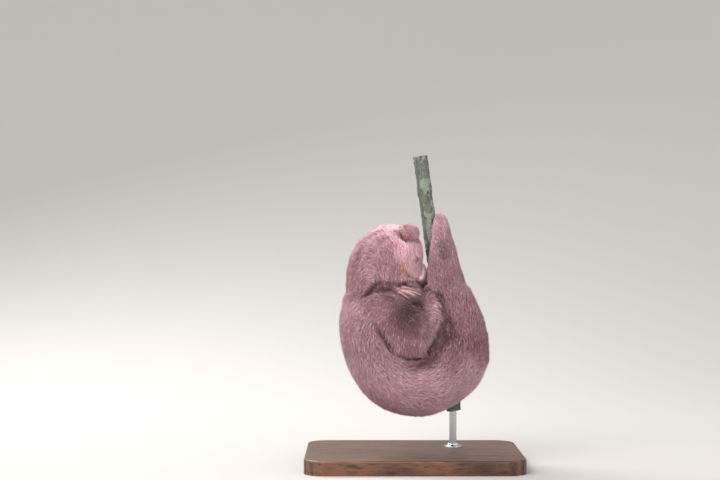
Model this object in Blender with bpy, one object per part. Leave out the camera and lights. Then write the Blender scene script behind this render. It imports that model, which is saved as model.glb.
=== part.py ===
"""Silky anteater asleep, curled into a ball round a leaning stem, on a small display stand.

The animal faces +X with its right side towards -Y, and hugs the stem, which passes behind it.
Numbers are in millimetres in the ball's own frame: +X right, +Y away, +Z up, from the ball's
middle, with the stem's axis in the plane Y = 0. All sizes of flesh reach the tips of the coat.
"""

import math

import bmesh
import bpy
from mathutils import Vector

MM = 0.001
GAP = 0.3

# The ball's middle, from the middle of the base's underside.
BALL_MIDDLE = Vector((0, 22, 101))

BASE_SIZE = Vector((150, 122, 10))
BASE_CORNER = 14
BASE_EDGE = 1.2
ROD_RADIUS = 2.6
ROD_SOCKET = 9

STEM_RADIUS = 5.0
STEM_MIDDLE_X = 21.1
STEM_LEAN = math.radians(7.5)
STEM_BOTTOM = -65
STEM_TOP = 116

# The trunk is curled about an axis along Y, through this X and Z. Each row is a section on a ray
# from that axis: the ray's angle, inner and outer radius, nearest and farthest Y.
CURL_AXIS = (2, -12)
TRUNK_SECTIONS = (
    (86, 15, 35, -34, -8),
    (104, 13, 41, -38, -4),
    (122, 11, 49, -42, -1),
    (140, 10, 58.5, -46, 3),
    (160, 10, 57, -50, 7),
    (180, 10, 53.5, -52, 10),
    (200, 10, 52.5, -54, 11),
    (222, 10, 53.5, -56, 10),
    (245, 10, 55.5, -57, 6),
    (262, 10, 55, -57, 2),
    (280, 10, 56, -57, -3),
    (300, 10, 53.5, -56, -6),
    (320, 10, 55, -54, -6),
    (340, 11, 53.5, -51, -6),
    (352, 14, 49, -48, -7),
)
TRUNK_PARTS = {"trunk_chest": (86, 206), "trunk_belly": (206, 282), "trunk_rump": (282, 352)}

# Every other piece of flesh is a tapered tube through stations: X, Y, Z, half thickness in the
# plane of the curl, half width across it.
NECK = (
    (-26, -19, 20, 21.5, 22),
    (-27, -18, 33, 20.5, 21),
    (-22, -16, 45, 20, 19),
    (-15, -15, 49.5, 18, 17),
)
HEAD = (
    (-22, -14, 53.5, 15, 13.5),
    (-17, -14, 51, 18.3, 16.2),
    (-12, -14, 46, 20.5, 17.6),
    (-6.5, -14, 40, 18.5, 16),
    (-1.5, -14, 34.5, 12.4, 11.4),
    (2.6, -14, 30, 7.4, 7.2),
    (5.2, -14, 27.6, 4.6, 4.8),
)
NOSE = (
    (5.8, -14, 40.5, 1.2, 2.1),
    (7.2, -14, 36, 2.0, 3.6),
    (7.4, -14, 31.5, 2.4, 4.4),
    (6.4, -14, 28, 2.3, 4.0),
)
EAR = (
    (-10, -25.5, 53, 4.6, 2.4),
    (-5.5, -25.5, 58, 7.4, 2.6),
    (-1.2, -24, 62.3, 7.0, 2.2),
    (1.0, -23, 64.8, 4.6, 1.7),
)
EYE_MIDDLE = (0.9, -24.4, 44)
EYE_RADIUS = 2.7
HEAD_MIDDLE_Y = -14

LEGS = {
    "forefoot_r": ((12.3, -13, 17, 6.0, 6.0), (13, -9, 19, 5.6, 5.8), (14, -4.6, 21, 4.6, 5.0)),
    "forefoot_l": ((9, 10.5, 25, 5.8, 6.0), (11.5, 8.5, 29, 5.4, 5.6), (14, 7, 32.5, 4.4, 4.8)),
    "hindfoot_r": ((20.7, -9, 59.5, 7.4, 6.6), (20.3, -7, 65, 6.3, 6.0), (20.1, -5, 70.5, 4.8, 5.0)),
    "hindfoot_l": ((18, 12, 40, 5.8, 6), (15.5, 10.8, 45.5, 5.2, 5.6), (14.4, 10.2, 51, 4.2, 4.8)),
    "foreleg_r_lower": (
        (8, -39, -9, 14.5, 13),
        (9.5, -36, 1, 13, 12),
        (11.5, -28, 12, 10.5, 10),
        (12.5, -16, 17.5, 7, 6.8),
    ),
    "foreleg_l_lower": (
        (-4, 15, -6, 11, 10.5),
        (3, 16, 2, 10, 9.5),
        (7, 14, 13, 8, 8),
        (8.5, 11.5, 22, 6.2, 6.2),
    ),
    "hindleg_r_shank": (
        (24.8, -29.5, 17, 14.4, 12),
        (23.2, -27, 26, 13.8, 11.8),
        (21.8, -22, 36, 12.2, 10.6),
        (21.4, -16, 47, 10.4, 8.8),
        (21, -10.5, 56, 8.2, 7.4),
    ),
    "hindleg_l_shank": ((29.5, 13, 19, 8.8, 8.8), (25, 14.5, 28, 7.8, 7.8), (20.5, 13.5, 36, 6.4, 6.6)),
    "foreleg_r_upper": (
        (-27, -33, 8, 16, 15),
        (-15, -39, 2, 17, 15),
        (-4, -42, -8, 19, 14),
        (5, -41, -10.5, 16.5, 13.5),
    ),
    "foreleg_l_upper": ((-30, -8, 9, 14, 13), (-20, 4, 2, 13.5, 12.5), (-9, 12, -5, 12.5, 11.5)),
    "hindleg_r_thigh": (
        (36, -34, -27, 17, 16),
        (36.5, -36, -12, 16, 16),
        (33.5, -35, 3, 14.5, 14),
        (28.5, -31, 17, 13, 12.5),
    ),
    "hindleg_l_thigh": (
        (37, -17, -19, 13.5, 13),
        (38, -6, -8, 12, 12),
        (36.5, 4, 3, 10.8, 10.8),
        (32.5, 10, 13, 9.6, 9.8),
    ),
}
TAIL = (
    (35, -25, -4, 10, 10),
    (31, -17, 3, 7.6, 7.6),
    (22, -11.8, 5.5, 6.1, 6.1),
    (12, -7.5, 2, 5.8, 5.8),
    (10.5, 3, -5, 5.5, 5.5),
    (17, 10.3, -13, 5.3, 5.3),
    (27.5, 10, -21, 5.1, 5.1),
    (35, 4.5, -31, 4.9, 4.9),
    (35.5, 3.5, -42, 4.7, 4.7),
    (27, 9.6, -50, 4.5, 4.5),
    (15, 9.6, -52, 4.3, 4.3),
    (2, 10.5, -47, 4.1, 4.1),
    (-8, 14.2, -38, 3.8, 3.8),
    (-13.5, 16.5, -27, 3.2, 3.2),
)
TAIL_PARTS = {
    "tail_base": (0, 2),
    "tail_second": (2, 5),
    "tail_third": (5, 8),
    "tail_fourth": (8, 11),
    "tail_tip": (11, 13),
}

# The claws of each foot curl round the stem. Each row is the foot, the number of claws, the height
# of the lowest, the rise from one to the next, the angle where they leave the foot, the angle they
# turn through, and the radius at the root of the first and of the last.
CLAWS = (
    ("forefoot_r", 2, 18.5, 4.2, -125, 115, 1.2, 1.9),
    ("forefoot_l", 2, 30.0, 4.2, 105, -115, 1.2, 1.9),
    ("hindfoot_r", 4, 61.5, 3.0, -5, 105, 1.15, 1.15),
    ("hindfoot_l", 4, 42.5, 3.0, 105, 50, 1.15, 1.15),
)
CLAW_CLEARANCE = 0.4


def smooth_row(stations, at):
    """The stations' numbers at a fractional place along them, on a Catmull-Rom curve."""
    span = min(int(at), len(stations) - 2)
    t = at - span
    before, start, end, after = (
        stations[min(max(span + step, 0), len(stations) - 1)] for step in (-1, 0, 1, 2)
    )
    return [
        s + 0.5 * t * (e - b + t * (2 * b - 5 * s + 4 * e - a + t * (3 * s - b - 3 * e + a)))
        for b, s, e, a in zip(before, start, end, after)
    ]


def tube_rows(stations, steps=2):
    """Rows along the curve through the stations, with this many steps from each to the next."""
    count = (len(stations) - 1) * steps
    return with_directions([smooth_row(stations, k / steps) for k in range(count + 1)])


def with_directions(numbers):
    """Rows of centre, direction, half thickness and half width, from rows of five numbers."""
    centres = [Vector(row[:3]) for row in numbers]
    last = len(centres) - 1
    rows = []
    for k, (*_, half, wide) in enumerate(numbers):
        direction = centres[min(k + 1, last)] - centres[max(k - 1, 0)]
        rows.append((centres[k], direction.normalized(), half, wide))
    return rows


def trunk_rows(first, last, step=12):
    """Rows of the trunk between two angles, each across its own ray from the curl's axis."""
    angles = [section[0] for section in TRUNK_SECTIONS]
    count = round((last - first) / step)
    rows = []
    for k in range(count + 1):
        angle = first + (last - first) * k / count
        span = max(n for n in range(len(angles) - 1) if angles[n] <= angle)
        at = span + (angle - angles[span]) / (angles[span + 1] - angles[span])
        _, inner, outer, near, far = smooth_row(TRUNK_SECTIONS, at)
        radius = (inner + outer) / 2
        cosine = math.cos(math.radians(angle))
        sine = math.sin(math.radians(angle))
        centre = Vector((CURL_AXIS[0] + radius * cosine, (near + far) / 2, CURL_AXIS[1] + radius * sine))
        rows.append((centre, Vector((-sine, 0, cosine)), (outer - inner) / 2, (far - near) / 2))
    return rows


def stem_point(height, angle=0.0, distance=0.0):
    """A point beside the stem's axis at a height, at an angle about it from +X and a distance."""
    x = STEM_MIDDLE_X - math.tan(STEM_LEAN) * height
    return Vector((x + distance * math.cos(angle), distance * math.sin(angle), height))


def stem_rows(count=9):
    """The stem's rows, slightly thicker at two old leaf scars and towards its foot."""
    rows = []
    for k in range(count + 1):
        height = STEM_BOTTOM + (STEM_TOP - STEM_BOTTOM) * k / count
        swell = 0.5 * math.exp(-(((height - 92) / 6) ** 2)) + 0.4 * math.exp(-(((height + 58) / 6) ** 2))
        rows.append((*stem_point(height), STEM_RADIUS + swell, STEM_RADIUS + swell))
    return with_directions(rows)


def claw_rows(height, start, sweep, root, count=5):
    """Rows of one claw, hooked round the stem from its root to a fine point."""
    rows = []
    for k in range(count):
        part = k / (count - 1)
        radius = 0.28 + (root - 0.28) * (1 - part) ** 0.7
        angle = math.radians(start + sweep * part)
        place = stem_point(height, angle, STEM_RADIUS + CLAW_CLEARANCE + radius)
        rows.append((*place, radius, radius))
    return with_directions(rows)


def mirrored(stations):
    """The same stations on the other side of the head."""
    return [(x, 2 * HEAD_MIDDLE_Y - y, z, half, wide) for x, y, z, half, wide in stations]


def add_tube(bm, rows, sides, caps, grow):
    """Closed tube of elliptical sections along the rows, with a dome at each end, or flat at cap 0."""
    across = Vector((0, 1, 0))
    rings = []
    for centre, direction, half, wide in rows:
        across = (across - direction * across.dot(direction)).normalized()
        rings.append((centre + BALL_MIDDLE, direction, across, half + grow, wide + grow))

    def end(ring, way, cap):
        """Rings that close one end, from the one next to the tube to the outermost."""
        centre, direction, side, half, wide = ring
        if cap == 0:
            return [(centre + direction * way * (grow - GAP / 2), direction, side, half, wide)]
        reach = direction * way * cap * min(half, wide)
        turns = (math.radians(30), math.radians(60))
        return [
            (centre + reach * math.sin(t), direction, side, half * math.cos(t), wide * math.cos(t))
            for t in turns
        ]

    body = rings[(caps[0] == 0):(len(rings) - (caps[1] == 0))]
    loops = []
    for centre, direction, side, half, wide in (
        *end(rings[0], -1, caps[0])[::-1], *body, *end(rings[-1], 1, caps[1])
    ):
        up = direction.cross(side)
        turns = [2 * math.pi * k / sides for k in range(sides)]
        loops.append(
            [bm.verts.new(centre + side * wide * math.cos(t) + up * half * math.sin(t)) for t in turns]
        )
    for one, other in zip(loops, loops[1:]):
        for k in range(sides):
            after = (k + 1) % sides
            bm.faces.new((one[k], one[after], other[after], other[k]))
    for loop, ring, way, cap in ((loops[0], rings[0], -1, caps[0]), (loops[-1], rings[-1], 1, caps[1])):
        if cap == 0:
            bm.faces.new(loop)
            continue
        pole = bm.verts.new(ring[0] + ring[1] * way * cap * min(ring[3], ring[4]))
        for k in range(sides):
            bm.faces.new((loop[k], loop[(k + 1) % sides], pole))


def add_object(name, looks, build):
    """An object whose mesh is made by build, in millimetres, and stored in metres."""
    mesh = bpy.data.meshes.new(name)
    bm = bmesh.new()
    build(bm)
    bmesh.ops.recalc_face_normals(bm, faces=bm.faces)
    bmesh.ops.scale(bm, vec=(MM, MM, MM), verts=bm.verts)
    bm.to_mesh(mesh)
    bm.free()
    mesh.shade_smooth()
    mesh.set_sharp_from_angle(angle=math.radians(50))
    mesh.materials.append(looks)
    made = bpy.data.objects.new(name, mesh)
    bpy.context.collection.objects.link(made)
    return made


def add_material(name, colour, roughness, metallic=0.0):
    made = bpy.data.materials.new(name)
    made.use_nodes = True
    shader = made.node_tree.nodes["Principled BSDF"]
    shader.inputs["Base Color"].default_value = (*colour, 1)
    shader.inputs["Roughness"].default_value = roughness
    shader.inputs["Metallic"].default_value = metallic
    made.diffuse_color = (*colour, 1)
    return made


def box_of(made):
    """Lowest and highest corner of an object that sits at the origin."""
    corners = [Vector(corner) for corner in made.bound_box]
    low = Vector([min(corner[k] for corner in corners) for k in range(3)])
    high = Vector([max(corner[k] for corner in corners) for k in range(3)])
    return low, high


def meet(one, other):
    """Whether the boxes of two objects overlap."""
    low, high = box_of(one)
    other_low, other_high = box_of(other)
    return all(low[k] < other_high[k] and other_low[k] < high[k] for k in range(3))


def cut(made, cutter):
    modifier = made.modifiers.new("gap_" + cutter.name, "BOOLEAN")
    modifier.operation = "DIFFERENCE"
    modifier.solver = "EXACT"
    modifier.object = cutter


def pieces():
    """Name, material, rows, sides and end caps of each tube. Each is cut by those before it."""
    yield "perch_stem", "bark", stem_rows(), 12, (0, 0)
    for foot, number, lowest, rise, start, sweep, first_root, last_root in CLAWS:
        for k in range(number):
            root = first_root + (last_root - first_root) * k / (number - 1)
            rows = claw_rows(lowest + rise * k, start, sweep, root)
            yield f"claw_{foot}_{k + 1}", "claw", rows, 5, (0.6, 1)
    yield "nose", "nose_skin", tube_rows(NOSE), 8, (0.9, 0.8)
    yield "ear_r", "ear_skin", tube_rows(EAR), 8, (0.6, 0.9)
    yield "ear_l", "ear_skin", tube_rows(mirrored(EAR)), 8, (0.6, 0.9)
    yield "head", "coat", tube_rows(HEAD), 14, (0.7, 0.7)
    for name, stations in LEGS.items():
        yield name, "coat", tube_rows(stations), 8 if "foot" in name else 11, (0.9, 0.9)
    tail = tube_rows(TAIL)
    for name, (first, last) in TAIL_PARTS.items():
        caps = (0.5 if first == 0 else 0, 1.0 if last == len(TAIL) - 1 else 0)
        yield name, "coat", tail[2 * first:2 * last + 1], 8, caps
    yield "neck", "coat", tube_rows(NECK), 12, (0.5, 0.5)
    for name, (first, last) in TRUNK_PARTS.items():
        caps = (0.6 if name == "trunk_chest" else 0, 0.5 if name == "trunk_rump" else 0)
        yield name, "coat", trunk_rows(first, last), 16, caps


def build_animal_and_stem(looks):
    """Every tube, each parted by thin gaps from those made before it.

    The lengths of the tail, and those of the trunk, already end a gap apart.
    """
    cutters = []
    for name, slot, rows, sides, caps in pieces():
        made = add_object(name, looks[slot], lambda bm: add_tube(bm, rows, sides, caps, 0.0))
        family = name.partition("_")[0]
        for cutter in cutters:
            apart = family in ("tail", "trunk") and cutter.name.startswith(family)
            if meet(made, cutter) and not apart:
                cut(made, cutter)
        cutter = add_object(name + "_room", looks[slot], lambda bm: add_tube(bm, rows, sides, caps, GAP))
        cutter.hide_render = True
        cutter.display_type = "WIRE"
        cutters.append(cutter)


def build_eyes(looks):
    """An eyeball on each side, in a socket of the head."""
    for name, y in (("eye_r", EYE_MIDDLE[1]), ("eye_l", 2 * HEAD_MIDDLE_Y - EYE_MIDDLE[1])):
        middle = Vector((EYE_MIDDLE[0], y, EYE_MIDDLE[2])) + BALL_MIDDLE

        def ball(bm, radius=EYE_RADIUS):
            bmesh.ops.create_uvsphere(bm, u_segments=10, v_segments=6, radius=radius)
            bmesh.ops.translate(bm, vec=middle, verts=bm.verts)

        add_object(name, looks["eye"], ball)
        room = add_object(name + "_room", looks["eye"], lambda bm: ball(bm, EYE_RADIUS + GAP))
        room.hide_render = True
        room.display_type = "WIRE"
        cut(bpy.data.objects["head"], room)


def build_stand(looks):
    """A flat base with round corners, and a rod from it into a socket in the stem's lower end."""

    def slab(bm):
        bmesh.ops.create_cube(bm, size=1)
        bmesh.ops.scale(bm, vec=BASE_SIZE, verts=bm.verts)
        bmesh.ops.translate(bm, vec=(0, 0, BASE_SIZE.z / 2), verts=bm.verts)
        uprights = [e for e in bm.edges if abs(e.verts[0].co.z - e.verts[1].co.z) > GAP]
        bmesh.ops.bevel(bm, geom=uprights, offset=BASE_CORNER, segments=5, profile=0.5, affect="EDGES")
        rim = [e for e in bm.edges if min(v.co.z for v in e.verts) > BASE_SIZE.z - GAP]
        bmesh.ops.bevel(bm, geom=rim, offset=BASE_EDGE, segments=2, profile=0.5, affect="EDGES")

    add_object("stand_base", looks["stand_wood"], slab)
    foot = stem_point(STEM_BOTTOM + ROD_SOCKET / 2) + BALL_MIDDLE
    low = BASE_SIZE.z + GAP
    high = BALL_MIDDLE.z + STEM_BOTTOM + ROD_SOCKET - GAP

    def rod(bm, radius=ROD_RADIUS, top=high):
        bmesh.ops.create_cone(
            bm, cap_ends=True, segments=20, radius1=radius, radius2=radius, depth=top - low
        )
        bmesh.ops.translate(bm, vec=(foot.x, foot.y, (top + low) / 2), verts=bm.verts)

    add_object("stand_rod", looks["stand_steel"], rod)
    room = add_object(
        "stand_rod_room", looks["stand_steel"], lambda bm: rod(bm, ROD_RADIUS + GAP, high + GAP)
    )
    room.hide_render = True
    room.display_type = "WIRE"
    cut(bpy.data.objects["perch_stem"], room)


def main():
    for old in list(bpy.data.objects):
        bpy.data.objects.remove(old, do_unlink=True)
    looks = {
        "coat": add_material("coat", (0.31, 0.21, 0.16), 0.85),
        "nose_skin": add_material("nose_skin", (0.50, 0.24, 0.22), 0.35),
        "ear_skin": add_material("ear_skin", (0.36, 0.19, 0.16), 0.7),
        "claw": add_material("claw", (0.30, 0.20, 0.13), 0.4),
        "eye": add_material("eye", (0.01, 0.008, 0.008), 0.1),
        "bark": add_material("bark", (0.15, 0.17, 0.12), 0.9),
        "stand_wood": add_material("stand_wood", (0.05, 0.032, 0.022), 0.5),
        "stand_steel": add_material("stand_steel", (0.45, 0.45, 0.45), 0.35, 1.0),
    }
    build_animal_and_stem(looks)
    build_eyes(looks)
    build_stand(looks)


main()
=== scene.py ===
"""A silky anteater asleep on a stem, as a museum shows it: skin, coat, nose, eyes, claws, perch and stand.

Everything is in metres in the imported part's frame: +X is the way the animal faces, -Y the side it
shows, +Z up, with the origin in the middle of the base's underside.
"""

import math

import bmesh
import bpy
import numpy as np
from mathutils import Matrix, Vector
from mathutils.bvhtree import BVHTree


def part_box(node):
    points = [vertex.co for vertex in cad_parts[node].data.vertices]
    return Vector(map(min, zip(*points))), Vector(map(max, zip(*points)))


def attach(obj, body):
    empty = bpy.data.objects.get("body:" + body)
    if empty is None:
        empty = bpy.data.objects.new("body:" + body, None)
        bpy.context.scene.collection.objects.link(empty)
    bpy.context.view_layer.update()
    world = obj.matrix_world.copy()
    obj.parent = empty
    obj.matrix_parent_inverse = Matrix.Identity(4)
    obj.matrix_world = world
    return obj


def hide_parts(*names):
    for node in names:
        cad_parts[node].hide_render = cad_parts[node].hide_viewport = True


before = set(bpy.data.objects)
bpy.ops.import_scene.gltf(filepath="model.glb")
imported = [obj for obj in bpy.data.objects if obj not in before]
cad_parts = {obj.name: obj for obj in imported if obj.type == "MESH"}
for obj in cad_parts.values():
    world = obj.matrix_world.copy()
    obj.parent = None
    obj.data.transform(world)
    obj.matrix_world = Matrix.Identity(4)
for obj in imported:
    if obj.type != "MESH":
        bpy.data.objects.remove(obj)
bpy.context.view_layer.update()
MM = 0.001


# ---- Camera ------------------------------------------------------------------------------------
# A long portrait lens, level, square to the animal's right side. It stands so far back that the
# ball is about a fifth of the picture's width, with open ground to its left.
VIEW_WIDTH = 0.504
VIEW_DISTANCE = 1.2
SENSOR_WIDTH = 36.0
# The lens points this far behind the head's back and this far under the near ear's top.
BEHIND_HEAD = 4.7 * MM
UNDER_EAR = 11.9 * MM

camera = bpy.data.objects.new("camera", bpy.data.cameras.new("camera"))
camera.data.sensor_width = SENSOR_WIDTH
camera.data.lens = SENSOR_WIDTH * VIEW_DISTANCE / VIEW_WIDTH
camera.location = (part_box("head")[0].x - BEHIND_HEAD, -VIEW_DISTANCE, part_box("ear_r")[1].z - UNDER_EAR)
camera.rotation_euler = (math.radians(90), 0, 0)
bpy.context.scene.collection.objects.link(camera)
bpy.context.scene.camera = camera


# ---- Studio ------------------------------------------------------------------------------------
# A sweep of seamless paper painted warm white: a floor that curves up into a wall far behind. The
# light is a large softbox high on the left, a weaker one on the right, and a strip behind the left.
FLOOR_HALF_WIDTH = 4.0
FLOOR_FRONT = -4.0
SWEEP_START = 0.45
SWEEP_RADIUS = 2.0
WALL_HEIGHT = 3.2


def linear(code):
    """The linear colour of an sRGB hex code: c / 12.92 below 0.04045, else ((c + 0.055) / 1.055) ^ 2.4."""
    channels = [int(code[k:k + 2], 16) / 255 for k in (1, 3, 5)]
    return (*[c / 12.92 if c < 0.04045 else ((c + 0.055) / 1.055) ** 2.4 for c in channels], 1.0)


def add_node(tree, kind, settings, inputs, stops=()):
    """A new node with its properties set, and each named input given a value or joined to an output.

    A colour Mix takes its factor at 0 and its colours at 6 and 7, and gives its result at 2. A colour
    ramp's stops are the places and colours of its two ends, and then of any between them.
    """
    made = tree.nodes.new("ShaderNode" + kind)
    for name, value in settings.items():
        setattr(made, name, value)
    for name, value in inputs.items():
        if isinstance(value, bpy.types.NodeSocket):
            tree.links.new(value, made.inputs[name])
        else:
            made.inputs[name].default_value = value
    for number, (position, code) in enumerate(stops):
        ramp = made.color_ramp.elements
        stop = ramp[number] if number < 2 else ramp.new(position)
        stop.position = position
        stop.color = linear(code)
    return made


def new_material(name):
    """An empty material, and the tree that its nodes go into."""
    material = bpy.data.materials.new(name)
    material.use_nodes = True
    material.node_tree.nodes.clear()
    return material, material.node_tree


def close_material(tree, inputs):
    """Ends a tree with the shader that has these inputs."""
    shader = add_node(tree, "BsdfPrincipled", {}, inputs)
    add_node(tree, "OutputMaterial", {}, {"Surface": shader.outputs["BSDF"]})


def add_piece(name, points, faces, material):
    """An object at the origin with these points and these faces, which all have as many corners."""
    mesh = bpy.data.meshes.new(name)
    mesh.vertices.add(len(points))
    mesh.vertices.foreach_set("co", np.ascontiguousarray(points, np.float32).ravel())
    mesh.loops.add(faces.size)
    mesh.loops.foreach_set("vertex_index", np.ascontiguousarray(faces, np.int32).ravel())
    mesh.polygons.add(len(faces))
    mesh.polygons.foreach_set("loop_start", np.arange(0, faces.size, faces.shape[1], dtype=np.int32))
    mesh.update(calc_edges=True)
    mesh.shade_smooth()
    mesh.materials.append(material)
    made = bpy.data.objects.new(name, mesh)
    bpy.context.scene.collection.objects.link(made)
    return made


def grid_points(x, y, z):
    """A grid of points from arrays that each hold one coordinate, repeated along what they lack."""
    return np.stack(np.broadcast_arrays(x, y, z), axis=-1)


def sheet_faces(rows, columns):
    """The four-sided cells of an open grid of rows by columns points."""
    index = np.arange(rows * columns).reshape(rows, columns)
    corners = (index[:-1, :-1], index[:-1, 1:], index[1:, 1:], index[1:, :-1])
    return np.stack(corners, axis=-1).reshape(-1, 4)


# Seamless paper with a coat of flat emulsion: no gloss, and a roller's faint orange peel, whose
# 1 mm dimples are drawn 6 mm wide so that they show at all.
paper, tree = new_material("white_emulsion_on_paper")
place = add_node(tree, "TexCoord", {}, {}).outputs["Object"]
peel = add_node(tree, "TexNoise", {}, {"Vector": place, "Scale": 1 / 0.006})
bump = add_node(tree, "Bump", {}, {"Height": peel.outputs["Fac"], "Strength": 0.03})
close_material(tree, {
    "Base Color": linear("#b0ada8"), "Roughness": 0.92, "Normal": bump.outputs["Normal"],
})

turn = np.radians(np.linspace(0, 90, 25))
curve_y = SWEEP_START + SWEEP_RADIUS * np.sin(turn)
profile_y = np.concatenate([[FLOOR_FRONT], curve_y, [SWEEP_START + SWEEP_RADIUS]])
profile_z = np.concatenate([[0], SWEEP_RADIUS * (1 - np.cos(turn)), [WALL_HEIGHT]])
sweep_x = np.linspace(-FLOOR_HALF_WIDTH, FLOOR_HALF_WIDTH, 9)
sweep = grid_points(sweep_x, profile_y[:, None], profile_z[:, None])
floor = add_piece("studio_sweep", sweep.reshape(-1, 3), sheet_faces(*sweep.shape[:2]), paper)

# Name, place, side of the square, watts and colour of each lamp.
LAMPS = (
    ("softbox_left", (-0.72, -0.98, 1.02), 1.0, 20.4, "#fffaf6"),
    ("softbox_right", (1.15, -1.05, 0.45), 1.2, 2.2, "#f6f7ff"),
    ("strip_behind", (-0.50, 0.55, 0.85), 0.5, 12.0, "#ffffff"),
)
LIT_POINT = Vector((0, 0.01, 0.11))
for name, spot, side, watts, colour in LAMPS:
    lamp = bpy.data.objects.new(name, bpy.data.lights.new(name, "AREA"))
    lamp.data.size = side
    lamp.data.energy = watts
    lamp.data.color = linear(colour)[:3]
    lamp.location = spot
    lamp.rotation_euler = (LIT_POINT - Vector(spot)).to_track_quat("-Z", "Y").to_euler()
    bpy.context.scene.collection.objects.link(lamp)

world = bpy.data.worlds.new("studio_air")
world.use_nodes = True
world.node_tree.nodes["Background"].inputs["Color"].default_value = linear("#f4f5f8")
world.node_tree.nodes["Background"].inputs["Strength"].default_value = 1.2
bpy.context.scene.world = world
bpy.context.scene.view_settings.view_transform = "Standard"


# ---- Stand -------------------------------------------------------------------------------------
# A plain museum stand: a planed walnut board with eased edges, rubbed with oil, and a ground steel
# rod let into it through a small turned steel collar.
COLLAR_RADIUS = 6.5 * MM
COLLAR_HEIGHT = 2.6 * MM
# The collar's turned profile from its foot up to the rod, in shares of its radius and its height.
COLLAR_PROFILE = np.array([
    (1.0, 0.0), (1.0, 0.18), (0.985, 0.24), (0.96, 0.27), (0.80, 0.30), (0.70, 0.36), (0.64, 0.50),
    (0.62, 0.80), (0.61, 0.92), (0.58, 0.98), (0.54, 1.0), (0.42, 1.0),
])


def ring_faces(rows, around):
    """The triangles of rings joined row to row, and of the fans that close both ends.

    Point k of row r is number 1 + r * around + k; 0 is the point that closes the first row, and the
    last number is the one that closes the last row.
    """
    index = 1 + np.arange(rows * around).reshape(rows, around)
    after = np.roll(index, -1, axis=1)
    first = np.zeros(around, np.int64)
    last = np.full(around, 1 + rows * around)
    return np.concatenate([
        np.stack([index[:-1], after[:-1], after[1:]], axis=-1).reshape(-1, 3),
        np.stack([index[:-1], after[1:], index[1:]], axis=-1).reshape(-1, 3),
        np.stack([first, after[0], index[0]], axis=-1),
        np.stack([last, index[-1], after[-1]], axis=-1),
    ])


def facing_out(points, faces):
    """The faces, turned round if the volume that they enclose, the sum of (a x b) . c / 6, is negative."""
    a, b, c = (points[faces[:, k]] for k in range(3))
    volume = np.einsum("ij,ij->", np.cross(a, b), c)
    return faces if volume > 0 else faces[:, ::-1]


def add_rings(name, start, rings, end, material):
    """A piece of rings of points that are joined row to row and closed by a point at each end."""
    points = np.concatenate([[start], rings.reshape(-1, 3), [end]])
    return add_piece(name, points, facing_out(points, ring_faces(*rings.shape[:2])), material)


def circle(count):
    """The angles of this many places spaced evenly round a circle."""
    return 2 * np.pi * np.arange(count) / count


# Oiled walnut, planed: growth lines about 6 mm apart and pores half a millimetre wide run along the
# board, with a low satin sheen that is duller in the pores.
walnut, tree = new_material("oiled_walnut")
place = add_node(tree, "TexCoord", {}, {}).outputs["Object"]
board = add_node(tree, "Mapping", {}, {
    "Vector": place, "Scale": (1.0, 7.0, 3.0), "Rotation": (0.1, 0.03, 0.05),
}).outputs["Vector"]
drift = add_node(tree, "TexNoise", {}, {"Vector": board, "Scale": 1 / 0.06, "Detail": 3.0})
grain = add_node(tree, "TexWave", {"bands_direction": "Y"}, {
    "Vector": board, "Scale": 1 / 0.13, "Distortion": 7.0, "Detail": 3.0, "Detail Scale": 1.4,
})
fine = add_node(tree, "Mapping", {}, {"Vector": place, "Scale": (1.0, 22.0, 10.0)})
pores = add_node(tree, "TexNoise", {}, {
    "Vector": fine.outputs["Vector"], "Scale": 1 / 0.012, "Detail": 4.0, "Roughness": 0.65,
}).outputs["Fac"]
wood_tone = add_node(tree, "Math", {"operation": "MULTIPLY_ADD"}, {
    0: grain.outputs["Fac"], 1: 0.45, 2: drift.outputs["Fac"],
})
browns = add_node(
    tree, "ValToRGB", {}, {"Fac": wood_tone.outputs["Value"]}, ((0.35, "#2e1d14"), (0.95, "#6b4630"))
)
pore_shade = add_node(tree, "ValToRGB", {}, {"Fac": pores}, ((0.36, "#8c8c8c"), (0.5, "#ffffff")))
wood = add_node(tree, "Mix", {"data_type": "RGBA", "blend_type": "MULTIPLY"}, {
    0: 1.0, 6: browns.outputs["Color"], 7: pore_shade.outputs["Color"],
})
gloss = add_node(tree, "MapRange", {}, {
    "Value": pores, "From Min": 0.3, "From Max": 0.6, "To Min": 0.55, "To Max": 0.36,
})
bump = add_node(tree, "Bump", {}, {"Height": pores, "Strength": 0.12, "Distance": 0.0006})
close_material(tree, {
    "Base Color": wood.outputs[2], "Roughness": gloss.outputs["Result"], "Normal": bump.outputs["Normal"],
})
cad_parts["stand_base"].data.materials[0] = walnut

# Ground stainless steel: fine rings round the rod from the grinding, drawn 0.8 mm apart.
steel, tree = new_material("ground_stainless_steel")
place = add_node(tree, "TexCoord", {}, {}).outputs["Object"]
squash = add_node(tree, "Mapping", {}, {"Vector": place, "Scale": (0.05, 0.05, 1.0)})
grinding = add_node(tree, "TexNoise", {}, {
    "Vector": squash.outputs["Vector"], "Scale": 1 / 0.0008, "Detail": 2.0,
}).outputs["Fac"]
gloss = add_node(tree, "MapRange", {}, {"Value": grinding, "To Min": 0.2, "To Max": 0.42})
bump = add_node(tree, "Bump", {}, {"Height": grinding, "Strength": 0.08, "Distance": 0.0002})
close_material(tree, {
    "Base Color": linear("#b9bbbd"), "Metallic": 1.0, "Roughness": gloss.outputs["Result"],
    "Normal": bump.outputs["Normal"],
})
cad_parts["stand_rod"].data.materials[0] = steel

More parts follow.
